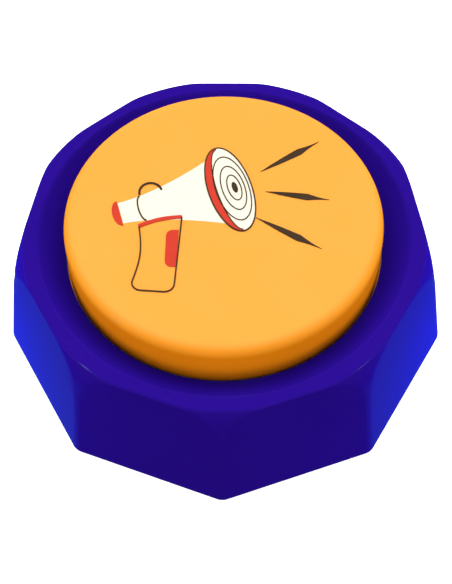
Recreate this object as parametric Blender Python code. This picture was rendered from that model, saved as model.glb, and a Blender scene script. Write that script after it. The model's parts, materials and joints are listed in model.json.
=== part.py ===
"""Quiz buzzer: a nine-sided desktop shell with one big sprung button that plays a sound.

Metres, +Z up. All pieces are modelled around the button's axis and hang from one empty, which puts
that axis where the footprint's bounding box is centred on the origin. The feet stand on z = 0.
"""

import math
from collections import namedtuple

import bmesh
import bpy
from mathutils import Matrix, Vector

MM = 0.001

# ---------------------------------------------------------------- driving dimensions
GAP = 0.3 * MM                    # between neighbouring pieces
SIDES = 9
SECTOR = 360 / SIDES              # degrees from one corner to the next
FRONT_CORNER = -90.0              # direction of the corner that points to the player
CORNER_RADIUS = 46.0 * MM         # axis to a bottom corner
DRAFT = math.tan(math.radians(8.6))
BASE_Z = 1.0 * MM                 # underside of the shell and cover, above the feet
RIM_Z = 27.5 * MM                 # flat round rim on top of the shell
RIM_OUTER = 39.87 * MM
RIM_INNER = 37.28 * MM
RIM_EDGE = 0.3 * MM
SHOULDER_RADIUS = 9.25 * MM       # arc that rounds the nine top corners down from the rim
WALL = 2.4 * MM
COVER_RIM_WALL = 2.0 * MM         # thinner wall around the bottom cover
COVER_TOP = 3.0 * MM
SHELL_CEILING = 24.0 * MM
RECESS_EDGE = 0.3 * MM            # rounding where the rim turns down into the recess
CHASSIS_POST_RADIUS = 2.6 * MM
COVER_POST_RADIUS = 2.8 * MM
RIB_HALF = 0.6 * MM
ROOT = 0.5 * MM                   # how deep a joined-on piece is sunk into what carries it

CAP_RADIUS = 31.15 * MM
CAP_TOP = 33.5 * MM
CAP_FILLET = 1.9 * MM
CAP_PLATE = 2.0 * MM
CAP_SKIRT = 1.95 * MM
FLANGE_RADIUS = 33.0 * MM
FLANGE_BOTTOM = 20.0 * MM
FLANGE_TOP = 21.4 * MM
TRAVEL = 2.5 * MM                 # button stroke
LIP_RADIUS = CAP_RADIUS + 0.35 * MM
LIP_TOP = 23.3 * MM
LIP_BOTTOM = FLANGE_TOP + GAP
LIP_EDGE = 0.3 * MM
LIP_LEDGE = 2.0 * MM              # flat underside of the lip that stops the flange
LIP_ROOT = 3.6 * MM
PUSHER_RADIUS = 3.0 * MM          # boss in the middle of the button that works the dome

CHASSIS_BOTTOM = 15.0 * MM
CHASSIS_TOP = 16.6 * MM
CHASSIS_RADIUS = 33.0 * MM
CHASSIS_EAR = 3.0 * MM
BOSS_DISTANCE = 36.4 * MM         # axis to every screw that closes the shell
CHASSIS_ANGLES = (-50, 70, 190)
COVER_ANGLES = (-90, 30, 150)
SPRING_DISTANCE = 25.0 * MM
SPRING_ANGLES = (90, 210, 330)
GUIDE_PIN_RADIUS = 1.5 * MM
GUIDE_PIN_TOP = 26.0 * MM
GUIDE_PIN_EDGE = 0.4 * MM
GUIDE_BORE = GUIDE_PIN_RADIUS + GAP
GUIDE_BOSS_RADIUS = 2.6 * MM
GUIDE_BOSS_BOTTOM = 22.0 * MM
SPRING_RADIUS = 3.2 * MM
SPRING_WIRE = 0.27 * MM
SPRING_TURNS = 5

BOARD_HALF = (17.0 * MM, 14.0 * MM)
BOARD_CORNER = 2.0 * MM
BOARD_BOTTOM = CHASSIS_TOP + GAP
BOARD_TOP = BOARD_BOTTOM + 1.2 * MM
PART_BOTTOM = BOARD_TOP + GAP     # what is mounted on the board starts here
DOME_TOP = 22.5 * MM
DOME_WALL = 0.8 * MM
BOARD_SCREWS = ((-14.5 * MM, -11.5 * MM), (14.5 * MM, -11.5 * MM))

FOOT_PLACES = ((19 * MM, 31 * MM), (-19 * MM, 31 * MM), (-19 * MM, -31 * MM), (19 * MM, -31 * MM))
FOOT_RADIUS = 3.5 * MM
FOOT_RECESS = 0.5 * MM

CELL_RADIUS = 5.25 * MM           # AAA
CELL_HALF = 22.25 * MM
CELL_NUB = 1.0 * MM
BAY_Y = 15.0 * MM
CELL_PITCH = 11.0 * MM
CELL_Z = 8.25 * MM
BAY_HALF_X = 25.5 * MM
BAY_HALF_Y = 11.2 * MM
BAY_WALL = 1.2 * MM
BAY_CEILING = 13.8 * MM
BAY_TOP = 14.6 * MM
CONTACT_X = 24.8 * MM
CONTACT_SHEET = 0.4 * MM
CONTACT_LOW = 4.0 * MM
CONTACT_HIGH = 13.2 * MM
DOOR_TOP = 2.6 * MM
DOOR_EAR = (28.8 * MM, 9.5 * MM)
DOOR_EAR_RADIUS = 3.0 * MM
DOOR_BOSS_RADIUS = 3.4 * MM
DOOR_BOSS_TOP = 7.5 * MM
DOOR_SCREW_SEAT = 1.6 * MM
COVER_SCREW_SEAT = 1.9 * MM
GRIP_GROOVES = 5                  # thumb grooves in the door
GRIP_START = -20.0 * MM
GRIP_PITCH = 2.0 * MM
GRIP_WIDTH = 0.9 * MM
GRIP_HALF = 5.0 * MM
GRIP_DEPTH = 0.5 * MM

SPEAKER = (0.0, -16.5 * MM)
SPEAKER_RADIUS = 14.0 * MM
SPEAKER_RING_WALL = 1.0 * MM      # low ring on the cover that centres the speaker
SPEAKER_RING_TOP = 4.0 * MM
CLAMP_ANGLES = (45, 225)
CLAMP_DISTANCE = 17.3 * MM
CLAMP_EAR = 2.4 * MM
CLAMP_BOTTOM = 4.7 * MM
CLAMP_TOP = 5.5 * MM
CLAMP_POST_RADIUS = 2.0 * MM
GRILLE_HOLE = 1.1 * MM
GRILLE_PITCH = 3.9 * MM

CONTROL_BOARD = (17.5 * MM, 34.5 * MM, -17.0 * MM, 1.5 * MM, 9.0 * MM, 10.2 * MM)
CONTROL_POSTS = ((19.7 * MM, -0.8 * MM), (33.0 * MM, -3.4 * MM))
CONTROL_POST_RADIUS = 1.7 * MM
SWITCH_BOTTOM = 5.2 * MM          # both switches on the control board reach down to here
SWITCH_BORE_TOP = 6.7 * MM
KEY = (21.5 * MM, -11.0 * MM)
KEY_RADIUS = 3.0 * MM
SLIDER = (30.0 * MM, -11.0 * MM)
SLIDER_TRAVEL = 2.0 * MM
SLIDER_WINDOW = (1.9 * MM, 3.2 * MM)
MICROPHONE = (26.0 * MM, -2.9 * MM)
MICROPHONE_HOLE = 0.9 * MM
RIBBON_X = 19.0 * MM              # where the flat cable goes straight up
RIBBON_Y = (-8.2 * MM, -2.9 * MM)
RIBBON_THICKNESS = 0.8 * MM
BATTERY_WIRE_HOLE = (19.0 * MM, 24.0 * MM, 11.5 * MM, 17.0 * MM)
SPEAKER_WIRE_HOLE = (-3.5 * MM, 3.5 * MM, -19.5 * MM, -16.0 * MM)
WIRE_RADIUS = 0.5 * MM

Screw = namedtuple("Screw", "head_radius head_height shank_radius length")
CHASSIS_SCREW = Screw(2.0 * MM, 0.8 * MM, 0.8 * MM, 7.8 * MM)
COVER_SCREW = Screw(2.3 * MM, 0.8 * MM, 1.0 * MM, 9.1 * MM)
DOOR_SCREW = Screw(2.0 * MM, 0.5 * MM, 0.8 * MM, 4.9 * MM)
BOARD_SCREW = Screw(1.7 * MM, 0.9 * MM, 0.7 * MM, 4.9 * MM)
CLAMP_SCREW = Screw(1.8 * MM, 0.9 * MM, 0.7 * MM, 3.6 * MM)
CONTROL_SCREW = Screw(1.6 * MM, 0.9 * MM, 0.6 * MM, 5.5 * MM)
SCREW_STEPS = 10
SCREW_RELIEF = 0.5 * MM           # a blind hole goes this much deeper than its screw

APOTHEM = CORNER_RADIUS * math.cos(math.radians(SECTOR / 2))
CORNER_BREAK = 1.0                # degrees each side of a corner that its round takes
FRONT_REACH = APOTHEM / math.cos(math.radians(SECTOR / 2 - CORNER_BREAK))
AXIS_Y = (FRONT_REACH * math.cos(math.radians(CORNER_BREAK)) - APOTHEM) / 2


# ---------------------------------------------------------------- scene and materials
def clear_scene():
    for old in list(bpy.data.objects):
        bpy.data.objects.remove(old, do_unlink=True)


def finish(name, colour, roughness, metallic=0.0):
    material = bpy.data.materials.new(name)
    material.use_nodes = True
    shader = material.node_tree.nodes["Principled BSDF"]
    shader.inputs["Base Color"].default_value = (*colour, 1.0)
    shader.inputs["Roughness"].default_value = roughness
    shader.inputs["Metallic"].default_value = metallic
    return material


def make_finishes():
    return {
        "shell": finish("blue_gloss_plastic", (0.018, 0.006, 0.26), 0.28),
        "button": finish("yellow_gloss_plastic", (0.95, 0.42, 0.05), 0.3),
        "chassis": finish("white_moulded_plastic", (0.72, 0.72, 0.70), 0.5),
        "rubber": finish("black_rubber", (0.02, 0.02, 0.02), 0.8),
        "silicone": finish("grey_silicone", (0.45, 0.46, 0.47), 0.6),
        "black": finish("black_moulded_plastic", (0.03, 0.03, 0.035), 0.45),
        "steel": finish("zinc_plated_steel", (0.62, 0.62, 0.60), 0.32, 1.0),
        "board": finish("green_circuit_board", (0.02, 0.17, 0.05), 0.4),
        "paper": finish("speaker_paper", (0.05, 0.05, 0.05), 0.9),
        "can": finish("capacitor_sleeve", (0.02, 0.03, 0.12), 0.4),
        "cell": finish("battery_wrap", (0.30, 0.32, 0.34), 0.35),
        "red": finish("red_wire_cover", (0.55, 0.02, 0.02), 0.45),
        "dark": finish("black_wire_cover", (0.02, 0.02, 0.02), 0.45),
        "ribbon": finish("grey_ribbon_cable", (0.42, 0.42, 0.45), 0.5),
    }


# ---------------------------------------------------------------- mesh helpers
def place(bm, name, material, assembly, origin=(0, 0, 0), smooth_angle=30):
    """Turn a bmesh in button-axis coordinates into a named object under the assembly empty."""
    bmesh.ops.recalc_face_normals(bm, faces=bm.faces)
    bmesh.ops.translate(bm, vec=-Vector(origin), verts=bm.verts)
    mesh = bpy.data.meshes.new(name)
    bm.to_mesh(mesh)
    bm.free()
    mesh.shade_smooth()
    mesh.set_sharp_from_angle(angle=math.radians(smooth_angle))
    piece = bpy.data.objects.new(name, mesh)
    if material:
        mesh.materials.append(material)
    piece.location = origin
    piece.parent = assembly
    bpy.context.scene.collection.objects.link(piece)
    return piece


def use_boolean(piece, bm, name, operation):
    """Cut a closed bmesh from a piece, or join it on, with a hidden tool object."""
    tool = place(bm, name, None, piece.parent)
    tool.hide_render = True
    tool.hide_viewport = False
    tool.display_type = "WIRE"
    boolean = piece.modifiers.new(name, "BOOLEAN")
    boolean.operation = operation
    boolean.solver = "EXACT"
    boolean.object = tool


def add_lathe(bm, profile, centre=(0, 0), steps=24, ring=False):
    """Turn (radius, z) points around a vertical axis; a ring profile closes on itself."""
    columns = []
    for radius, z in profile:
        if radius == 0:
            columns.append([bm.verts.new((centre[0], centre[1], z))])
            continue
        turn = [2 * math.pi * k / steps for k in range(steps)]
        columns.append([
            bm.verts.new((centre[0] + radius * math.cos(a), centre[1] + radius * math.sin(a), z))
            for a in turn
        ])
    pairs = list(zip(columns, columns[1:]))
    if ring:
        pairs.append((columns[-1], columns[0]))
    for upper, lower in pairs:
        for k in range(steps):
            after = (k + 1) % steps
            corners = [upper[k % len(upper)], upper[after % len(upper)],
                       lower[after % len(lower)], lower[k % len(lower)]]
            bm.faces.new(list(dict.fromkeys(corners)))


def lathe(profile, centre=(0, 0), steps=24, ring=False):
    bm = bmesh.new()
    add_lathe(bm, profile, centre, steps, ring)
    return bm


def add_rod(bm, centre, radius, low, high, steps=12):
    add_lathe(bm, [(0, high), (radius, high), (radius, low), (0, low)], centre, steps)


def add_prism(bm, outline, low, high):
    """Extrude a closed (x, y) outline from low to high."""
    bottom = [bm.verts.new((x, y, low)) for x, y in outline]
    top = [bm.verts.new((x, y, high)) for x, y in outline]
    bm.faces.new(bottom[::-1])
    bm.faces.new(top)
    for k in range(len(outline)):
        after = (k + 1) % len(outline)
        bm.faces.new((bottom[k], bottom[after], top[after], top[k]))


def prism(outline, low, high):
    bm = bmesh.new()
    add_prism(bm, outline, low, high)
    return bm


def add_box(bm, x0, x1, y0, y1, z0, z1):
    add_prism(bm, [(x0, y0), (x1, y0), (x1, y1), (x0, y1)], z0, z1)


def box(x0, x1, y0, y1, z0, z1):
    bm = bmesh.new()
    add_box(bm, x0, x1, y0, y1, z0, z1)
    return bm


def polar(distance, degrees, centre=(0, 0)):
    angle = math.radians(degrees)
    return (centre[0] + distance * math.cos(angle), centre[1] + distance * math.sin(angle))


def tube(path, radius, sides=6):
    """Sweep a round section along a path of points, with flat ends."""
    bm = bmesh.new()
    points = [Vector(p) for p in path]
    across = None
    rings = []
    for k, point in enumerate(points):
        ahead = (points[min(k + 1, len(points) - 1)] - points[max(k - 1, 0)]).normalized()
        start = across or ahead.orthogonal()
        across = (start - start.dot(ahead) * ahead).normalized()
        other = ahead.cross(across)
        rings.append([
            bm.verts.new(point + radius * (across * math.cos(a) + other * math.sin(a)))
            for a in (2 * math.pi * s / sides for s in range(sides))
        ])
    for here, after in zip(rings, rings[1:]):
        for s in range(sides):
            t = (s + 1) % sides
            bm.faces.new((here[s], here[t], after[t], after[s]))
    bm.faces.new(rings[0][::-1])
    bm.faces.new(rings[-1])
    return bm


def smooth_path(points, steps=3):
    """A Catmull-Rom curve through the points."""
    knots = [Vector(p) for p in points]
    knots = [2 * knots[0] - knots[1]] + knots + [2 * knots[-1] - knots[-2]]
    path = []
    for a, b, c, d in zip(knots, knots[1:], knots[2:], knots[3:]):
        for k in range(steps):
            t = k / steps
            path.append(0.5 * (2 * b + (c - a) * t + (2 * a - 5 * b + 4 * c - d) * t * t
                               + (3 * b - a - 3 * c + d) * t ** 3))
    path.append(knots[-2])
    return path


def eared_outline(radius, ear_radius, ear_distance, angles, steps=48):
    """A disc with round ears on it, as one outline around the origin."""
    half = math.degrees(math.asin(ear_radius / radius))
    outline = []
    for k in range(steps):
        angle = 360 * k / steps
        if all(abs((angle - a + 180) % 360 - 180) > half + 1 for a in angles):
            outline.append((angle, polar(radius, angle)))
    for a in angles:
        tip = polar(ear_distance, a)
        outline.append(((a - half) % 360, polar(radius, a - half)))
        for turn in range(-90, 91, 30):
            # The key only sorts the ear's points between its two feet.
            outline.append(((a + 0.99 * half * turn / 90) % 360, polar(ear_radius, a + turn, tip)))
        outline.append(((a + half) % 360, polar(radius, a + half)))
    return [point for _, point in sorted(outline)]


def screw(size, centre, seat, way):
    """Flat-headed screw with a plain shank; way is 1 when driven upwards and -1 when downwards."""
    rim = 0.3 * size.head_height
    head = seat - way * size.head_height
    tip = seat + way * size.length
    return lathe([
        (0, tip), (size.shank_radius, tip - way * size.shank_radius), (size.shank_radius, seat),
        (size.head_radius, seat), (size.head_radius, head + way * rim),
        (size.head_radius - rim, head), (0, head),
    ], centre, SCREW_STEPS)


def add_screw_hole(bm, size, centre, low, high):
    add_rod(bm, centre, size.shank_radius + GAP, low, high, SCREW_STEPS)


# ---------------------------------------------------------------- nine-sided shell surface
def sector_angle(degrees):
    """Angle from the middle of the facet that lies in this direction."""
    return (degrees - FRONT_CORNER) % SECTOR - SECTOR / 2


def facet(apothem, z, degrees):
    """Distance from the axis to a drafted flat side, at this height and direction."""
    return (apothem - (z - BASE_Z) * DRAFT) / math.cos(math.radians(sector_angle(degrees)))


def shoulder(z):
    """Distance from the axis to the rounded shoulder, an arc that meets the rim at 45 degrees."""
    reach = SHOULDER_RADIUS * math.sin(math.radians(45))
    height = z - RIM_Z + reach
    return RIM_OUTER - reach + math.sqrt(SHOULDER_RADIUS ** 2 - height ** 2)


def shoulder_start(degrees):
    """Height at which a side runs into the shoulder, found by halving."""
    low = RIM_Z - 5.0 * MM
    high = RIM_Z - 0.9 * MM
    for _ in range(30):
        middle = (low + high) / 2
        if facet(APOTHEM, middle, degrees) < shoulder(middle):
            low = middle
        else:
            high = middle
    return low


def shell_directions(per_side=6):
    """Directions that include both edges of each rounded corner and split each side evenly."""
    clear = SECTOR - 2 * CORNER_BREAK
    return [
        FRONT_CORNER + SECTOR * side + CORNER_BREAK + clear * k / per_side
        for side in range(SIDES) for k in range(per_side + 1)
    ]


def nonagon(apothem):
    """Outline with each corner broken by a short flat."""
    spread = SECTOR / 2 - CORNER_BREAK
    reach = apothem / math.cos(math.radians(spread))
    middles = [FRONT_CORNER + SECTOR * (side + 0.5) for side in range(SIDES)]
    return [polar(reach, middle + turn) for middle in middles for turn in (-spread, spread)]


def shell_profile(degrees):
    """Closed (radius, z) section of the shell in one direction, outside first."""
    start = shoulder_start(degrees)
    rim_corner = RIM_Z - RIM_EDGE
    section = [(facet(APOTHEM, BASE_Z, degrees), BASE_Z)]
    for step in range(4):
        z = start + (rim_corner - start) * step / 3
        section.append((min(facet(APOTHEM, z, degrees), shoulder(z)), z))
    section.append((section[-1][0] - RIM_EDGE, RIM_Z))
    section += [
        (RIM_INNER + RECESS_EDGE, RIM_Z),
        (RIM_INNER - RECESS_EDGE, RIM_Z - 0.6 * RECESS_EDGE),
        (LIP_RADIUS + LIP_EDGE, LIP_TOP),
        (LIP_RADIUS, LIP_TOP - LIP_EDGE),
        (LIP_RADIUS, LIP_BOTTOM),
        (LIP_RADIUS + LIP_LEDGE, LIP_BOTTOM),
        (LIP_RADIUS + LIP_ROOT, SHELL_CEILING),
        (facet(APOTHEM - WALL, SHELL_CEILING, degrees), SHELL_CEILING),
        (facet(APOTHEM - WALL, COVER_TOP + GAP, degrees), COVER_TOP + GAP),
        (facet(APOTHEM - COVER_RIM_WALL, COVER_TOP + GAP, degrees), COVER_TOP + GAP),
        (facet(APOTHEM - COVER_RIM_WALL, BASE_Z, degrees), BASE_Z),
    ]
    return section


# ---------------------------------------------------------------- shell and button
def make_outer_housing(finishes, assembly):
    directions = shell_directions()
    bm = bmesh.new()
    columns = [
        [bm.verts.new((*polar(radius, degrees), z)) for radius, z in shell_profile(degrees)]
        for degrees in directions
    ]
    for here, after in zip(columns, columns[1:] + columns[:1]):
        for k in range(len(here)):
            j = (k + 1) % len(here)
            bm.faces.new((here[k], here[j], after[j], after[k]))
    housing = place(bm, "outer_housing", finishes["shell"], assembly, smooth_angle=20)

    top = SHELL_CEILING + ROOT
    posts = bmesh.new()
    for degrees in CHASSIS_ANGLES:
        add_rod(posts, polar(BOSS_DISTANCE, degrees), CHASSIS_POST_RADIUS, CHASSIS_TOP + GAP, top)
    for degrees in COVER_ANGLES:
        add_rod(posts, polar(BOSS_DISTANCE, degrees), COVER_POST_RADIUS, COVER_TOP + GAP, top)
    use_boolean(housing, posts, "screw_posts", "UNION")

    ribs = bmesh.new()
    for degrees in COVER_ANGLES:
        add_post_rib(ribs, degrees, top)
    use_boolean(housing, ribs, "post_ribs", "UNION")

    chassis_tip = CHASSIS_BOTTOM - GAP + CHASSIS_SCREW.length
    cover_tip = COVER_SCREW_SEAT + COVER_SCREW.length
    holes = bmesh.new()
    for degrees in CHASSIS_ANGLES:
        add_screw_hole(holes, CHASSIS_SCREW, polar(BOSS_DISTANCE, degrees), CHASSIS_TOP,
                       chassis_tip + SCREW_RELIEF)
    for degrees in COVER_ANGLES:
        add_screw_hole(holes, COVER_SCREW, polar(BOSS_DISTANCE, degrees), COVER_TOP,
                       cover_tip + SCREW_RELIEF)
    use_boolean(housing, holes, "pilot_holes", "DIFFERENCE")


def add_post_rib(bm, degrees, top):
    """Web between a long screw post and the shell's corner, following the drafted wall."""
    low = COVER_TOP + GAP + 2 * ROOT
    wall_middle = APOTHEM / math.cos(math.radians(SECTOR / 2)) - WALL / 2
    section = [
        (BOSS_DISTANCE, low), (wall_middle - (low - BASE_Z) * DRAFT - ROOT, low),
        (wall_middle - (top - BASE_Z) * DRAFT - 2 * ROOT, top), (BOSS_DISTANCE, top),
    ]
    turn = Matrix.Rotation(math.radians(degrees), 4, "Z")
    left = [bm.verts.new(turn @ Vector((r, RIB_HALF, z))) for r, z in section]
    right = [bm.verts.new(turn @ Vector((r, -RIB_HALF, z))) for r, z in section]
    bm.faces.new(left[::-1])
    bm.faces.new(right)
    for k in range(4):
        j = (k + 1) % 4
        bm.faces.new((left[k], left[j], right[j], right[k]))


def make_button_cap(finishes, assembly):
    inner = CAP_RADIUS - CAP_SKIRT
    profile = [(0, CAP_TOP)]
    for k in range(5):
        turn = math.radians(90 - 22.5 * k)
        profile.append((CAP_RADIUS - CAP_FILLET + CAP_FILLET * math.cos(turn),
                        CAP_TOP - CAP_FILLET + CAP_FILLET * math.sin(turn)))
    profile += [
        (CAP_RADIUS, FLANGE_TOP), (FLANGE_RADIUS, FLANGE_TOP), (FLANGE_RADIUS, FLANGE_BOTTOM),
        (inner, FLANGE_BOTTOM), (inner, CAP_TOP - CAP_PLATE), (0, CAP_TOP - CAP_PLATE),
    ]
    cap = place(lathe(profile, steps=64), "button_cap", finishes["button"], assembly)

    root = CAP_TOP - 0.5 * CAP_PLATE
    under = bmesh.new()
    for degrees in SPRING_ANGLES:
        add_rod(under, polar(SPRING_DISTANCE, degrees), GUIDE_BOSS_RADIUS, GUIDE_BOSS_BOTTOM, root)
    add_rod(under, (0, 0), PUSHER_RADIUS, DOME_TOP + GAP, root)
    use_boolean(cap, under, "button_bosses", "UNION")

    bores = bmesh.new()
    for degrees in SPRING_ANGLES:
        add_rod(bores, polar(SPRING_DISTANCE, degrees), GUIDE_BORE,
                GUIDE_BOSS_BOTTOM - MM, GUIDE_PIN_TOP + TRAVEL + MM)
    use_boolean(cap, bores, "guide_bores", "DIFFERENCE")


def make_return_springs(finishes, assembly):
    low = CHASSIS_TOP + GAP + SPRING_WIRE
    high = CAP_TOP - CAP_PLATE - GAP - SPRING_WIRE
    count = 8 * SPRING_TURNS
    for number, degrees in enumerate(SPRING_ANGLES, 1):
        foot = Vector((*polar(SPRING_DISTANCE, degrees), 0))
        path = [
            Vector((*polar(SPRING_RADIUS, 45 * k), low + (high - low) * k / count))
            for k in range(count + 1)
        ]
        place(tube([p + foot for p in path], SPRING_WIRE, 5), f"return_spring_{number}",
              finishes["steel"], assembly, foot)


def make_chassis_plate(finishes, assembly):
    outline = eared_outline(CHASSIS_RADIUS, CHASSIS_EAR, BOSS_DISTANCE, CHASSIS_ANGLES)
    plate = place(prism(outline, CHASSIS_BOTTOM, CHASSIS_TOP), "chassis_plate",
                  finishes["chassis"], assembly)
    pins = bmesh.new()
    for degrees in SPRING_ANGLES:
        add_lathe(pins, [
            (0, GUIDE_PIN_TOP), (GUIDE_PIN_RADIUS - GUIDE_PIN_EDGE, GUIDE_PIN_TOP),
            (GUIDE_PIN_RADIUS, GUIDE_PIN_TOP - GUIDE_PIN_EDGE),
            (GUIDE_PIN_RADIUS, CHASSIS_BOTTOM + ROOT), (0, CHASSIS_BOTTOM + ROOT),
        ], polar(SPRING_DISTANCE, degrees), 12)
    use_boolean(plate, pins, "guide_pins", "UNION")

    low = CHASSIS_BOTTOM - MM
    high = CHASSIS_TOP + MM
    holes = bmesh.new()
    for degrees in CHASSIS_ANGLES:
        add_screw_hole(holes, CHASSIS_SCREW, polar(BOSS_DISTANCE, degrees), low, high)
    for centre in BOARD_SCREWS:
        add_screw_hole(holes, BOARD_SCREW, centre, low, high)
    add_box(holes, *BATTERY_WIRE_HOLE, low, high)
    add_box(holes, *SPEAKER_WIRE_HOLE, low, high)
    add_box(holes, RIBBON_X - GAP, RIBBON_X + RIBBON_THICKNESS + GAP,
            RIBBON_Y[0] - GAP, RIBBON_Y[1] + GAP, low, high)
    use_boolean(plate, holes, "plate_openings", "DIFFERENCE")


def make_chassis_screws(finishes, assembly):
    for number, degrees in enumerate(CHASSIS_ANGLES, 1):
        bm = screw(CHASSIS_SCREW, polar(BOSS_DISTANCE, degrees), CHASSIS_BOTTOM - GAP, 1)
        place(bm, f"chassis_screw_{number}", finishes["steel"], assembly)


# ---------------------------------------------------------------- bottom cover and what closes it
def door_outline(grow=0.0):
    """Battery door: a rectangle with a round ear for its screw, optionally grown all round."""
    right = BAY_HALF_X - GAP + grow
    half_y = BAY_HALF_Y - GAP + grow
    radius = DOOR_EAR_RADIUS + grow
    ear = [polar(radius, -90 + 22.5 * k, DOOR_EAR) for k in range(9)]
    return ([(-right, BAY_Y - half_y), (right, BAY_Y - half_y), (right, ear[0][1])] + ear
            + [(right, ear[-1][1]), (right, BAY_Y + half_y), (-right, BAY_Y + half_y)])


def make_bottom_cover(finishes, assembly):
    outline = nonagon(APOTHEM - COVER_RIM_WALL - GAP)
    cover = place(prism(outline, BASE_Z, COVER_TOP), "bottom_cover", finishes["shell"], assembly)
    root = COVER_TOP - ROOT

    raised = bmesh.new()
    outer_x = BAY_HALF_X + BAY_WALL
    outer_y = BAY_HALF_Y + BAY_WALL
    add_box(raised, -outer_x, outer_x, BAY_Y - outer_y, BAY_Y + outer_y, root, BAY_TOP)
    for degrees in CLAMP_ANGLES:
        add_rod(raised, polar(CLAMP_DISTANCE, degrees, SPEAKER), CLAMP_POST_RADIUS, root,
                CLAMP_BOTTOM - GAP)
    for centre in CONTROL_POSTS:
        add_rod(raised, centre, CONTROL_POST_RADIUS, root, CONTROL_BOARD[4] - GAP)
    inner = SPEAKER_RADIUS + GAP
    outer = inner + SPEAKER_RING_WALL
    add_lathe(raised, [(outer, SPEAKER_RING_TOP), (outer, root), (inner, root),
                       (inner, SPEAKER_RING_TOP)], SPEAKER, 40, ring=True)
    use_boolean(cover, raised, "cover_bay_and_posts", "UNION")

    ear_boss = bmesh.new()
    add_rod(ear_boss, DOOR_EAR, DOOR_BOSS_RADIUS, root, DOOR_BOSS_TOP)
    use_boolean(cover, ear_boss, "door_screw_boss", "UNION")

    bay = bmesh.new()
    add_box(bay, -BAY_HALF_X, BAY_HALF_X, BAY_Y - BAY_HALF_Y, BAY_Y + BAY_HALF_Y, 0, BAY_CEILING)
    use_boolean(cover, bay, "battery_bay", "DIFFERENCE")

    pocket = prism(door_outline(GAP), 0, DOOR_TOP + GAP)
    use_boolean(cover, pocket, "door_pocket", "DIFFERENCE")

    use_boolean(cover, cover_holes(), "cover_holes", "DIFFERENCE")
    use_boolean(cover, cover_recesses(), "cover_recesses", "DIFFERENCE")


def cover_holes():
    """Every hole that goes through the cover or down into one of its posts."""
    low = BASE_Z - MM
    high = COVER_TOP + 2 * MM
    clamp_tip = CLAMP_TOP + GAP - CLAMP_SCREW.length
    control_tip = CONTROL_BOARD[5] + GAP - CONTROL_SCREW.length
    holes = bmesh.new()
    for centre in grille_places():
        add_rod(holes, centre, GRILLE_HOLE, low, high, 8)
    for degrees in COVER_ANGLES:
        add_screw_hole(holes, COVER_SCREW, polar(BOSS_DISTANCE, degrees), low, high)
    for degrees in CLAMP_ANGLES:
        add_screw_hole(holes, CLAMP_SCREW, polar(CLAMP_DISTANCE, degrees, SPEAKER),
                       clamp_tip - SCREW_RELIEF, CLAMP_BOTTOM)
    for centre in CONTROL_POSTS:
        add_screw_hole(holes, CONTROL_SCREW, centre, control_tip - SCREW_RELIEF, CONTROL_BOARD[4])
    add_screw_hole(holes, DOOR_SCREW, DOOR_EAR, DOOR_TOP,
                   DOOR_SCREW_SEAT + DOOR_SCREW.length + SCREW_RELIEF)
    add_rod(holes, KEY, KEY_RADIUS + GAP, low, high, 20)
    add_rod(holes, MICROPHONE, MICROPHONE_HOLE, low, high)
    add_box(holes, SLIDER[0] - SLIDER_WINDOW[0], SLIDER[0] + SLIDER_WINDOW[0],
            SLIDER[1] - SLIDER_WINDOW[1], SLIDER[1] + SLIDER_WINDOW[1], low, high)
    add_box(holes, *BATTERY_WIRE_HOLE, BAY_CEILING - MM, BAY_TOP + MM)
    return holes


def cover_recesses():
    """Shallow recesses in the underside, for the feet and the screw heads."""
    recesses = bmesh.new()
    for centre in FOOT_PLACES:
        add_rod(recesses, centre, FOOT_RADIUS + GAP, 0, BASE_Z + FOOT_RECESS, 20)
    for degrees in COVER_ANGLES:
        add_rod(recesses, polar(BOSS_DISTANCE, degrees), COVER_SCREW.head_radius + GAP, 0,
                COVER_SCREW_SEAT + GAP, 2 * SCREW_STEPS)
    return recesses


def grille_places():
    """Centres of the sound holes: one in the middle and two rings around it."""
    places = [SPEAKER]
    for ring, count in ((1, 6), (2, 12)):
        places += [polar(GRILLE_PITCH * ring, 360 * k / count, SPEAKER) for k in range(count)]
    return places


def make_cover_screws(finishes, assembly):
    for number, degrees in enumerate(COVER_ANGLES, 1):
        bm = screw(COVER_SCREW, polar(BOSS_DISTANCE, degrees), COVER_SCREW_SEAT, 1)
        place(bm, f"cover_screw_{number}", finishes["steel"], assembly)


def make_rubber_feet(finishes, assembly):
    top = BASE_Z + FOOT_RECESS - GAP
    edge = 0.3 * MM
    for number, centre in enumerate(FOOT_PLACES, 1):
        bm = lathe([(0, top), (FOOT_RADIUS, top), (FOOT_RADIUS, edge), (FOOT_RADIUS - edge, 0),
                    (0, 0)], centre, 20)
        place(bm, f"rubber_foot_{number}", finishes["rubber"], assembly)


def make_battery_door(finishes, assembly):
    door = place(prism(door_outline(), BASE_Z, DOOR_TOP), "battery_door", finishes["shell"], assembly)
    cuts = bmesh.new()
    add_screw_hole(cuts, DOOR_SCREW, DOOR_EAR, 0, DOOR_TOP + MM)
    for k in range(GRIP_GROOVES):
        x = GRIP_START + GRIP_PITCH * k
        add_box(cuts, x, x + GRIP_WIDTH, BAY_Y - GRIP_HALF, BAY_Y + GRIP_HALF, 0,
                BASE_Z + GRIP_DEPTH)
    use_boolean(door, cuts, "door_grip_grooves", "DIFFERENCE")
    head = bmesh.new()
    add_rod(head, DOOR_EAR, DOOR_SCREW.head_radius + GAP, 0, DOOR_SCREW_SEAT + GAP, 2 * SCREW_STEPS)
    use_boolean(door, head, "door_screw_recess", "DIFFERENCE")
    place(screw(DOOR_SCREW, DOOR_EAR, DOOR_SCREW_SEAT, 1), "battery_door_screw",
          finishes["steel"], assembly)


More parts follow.
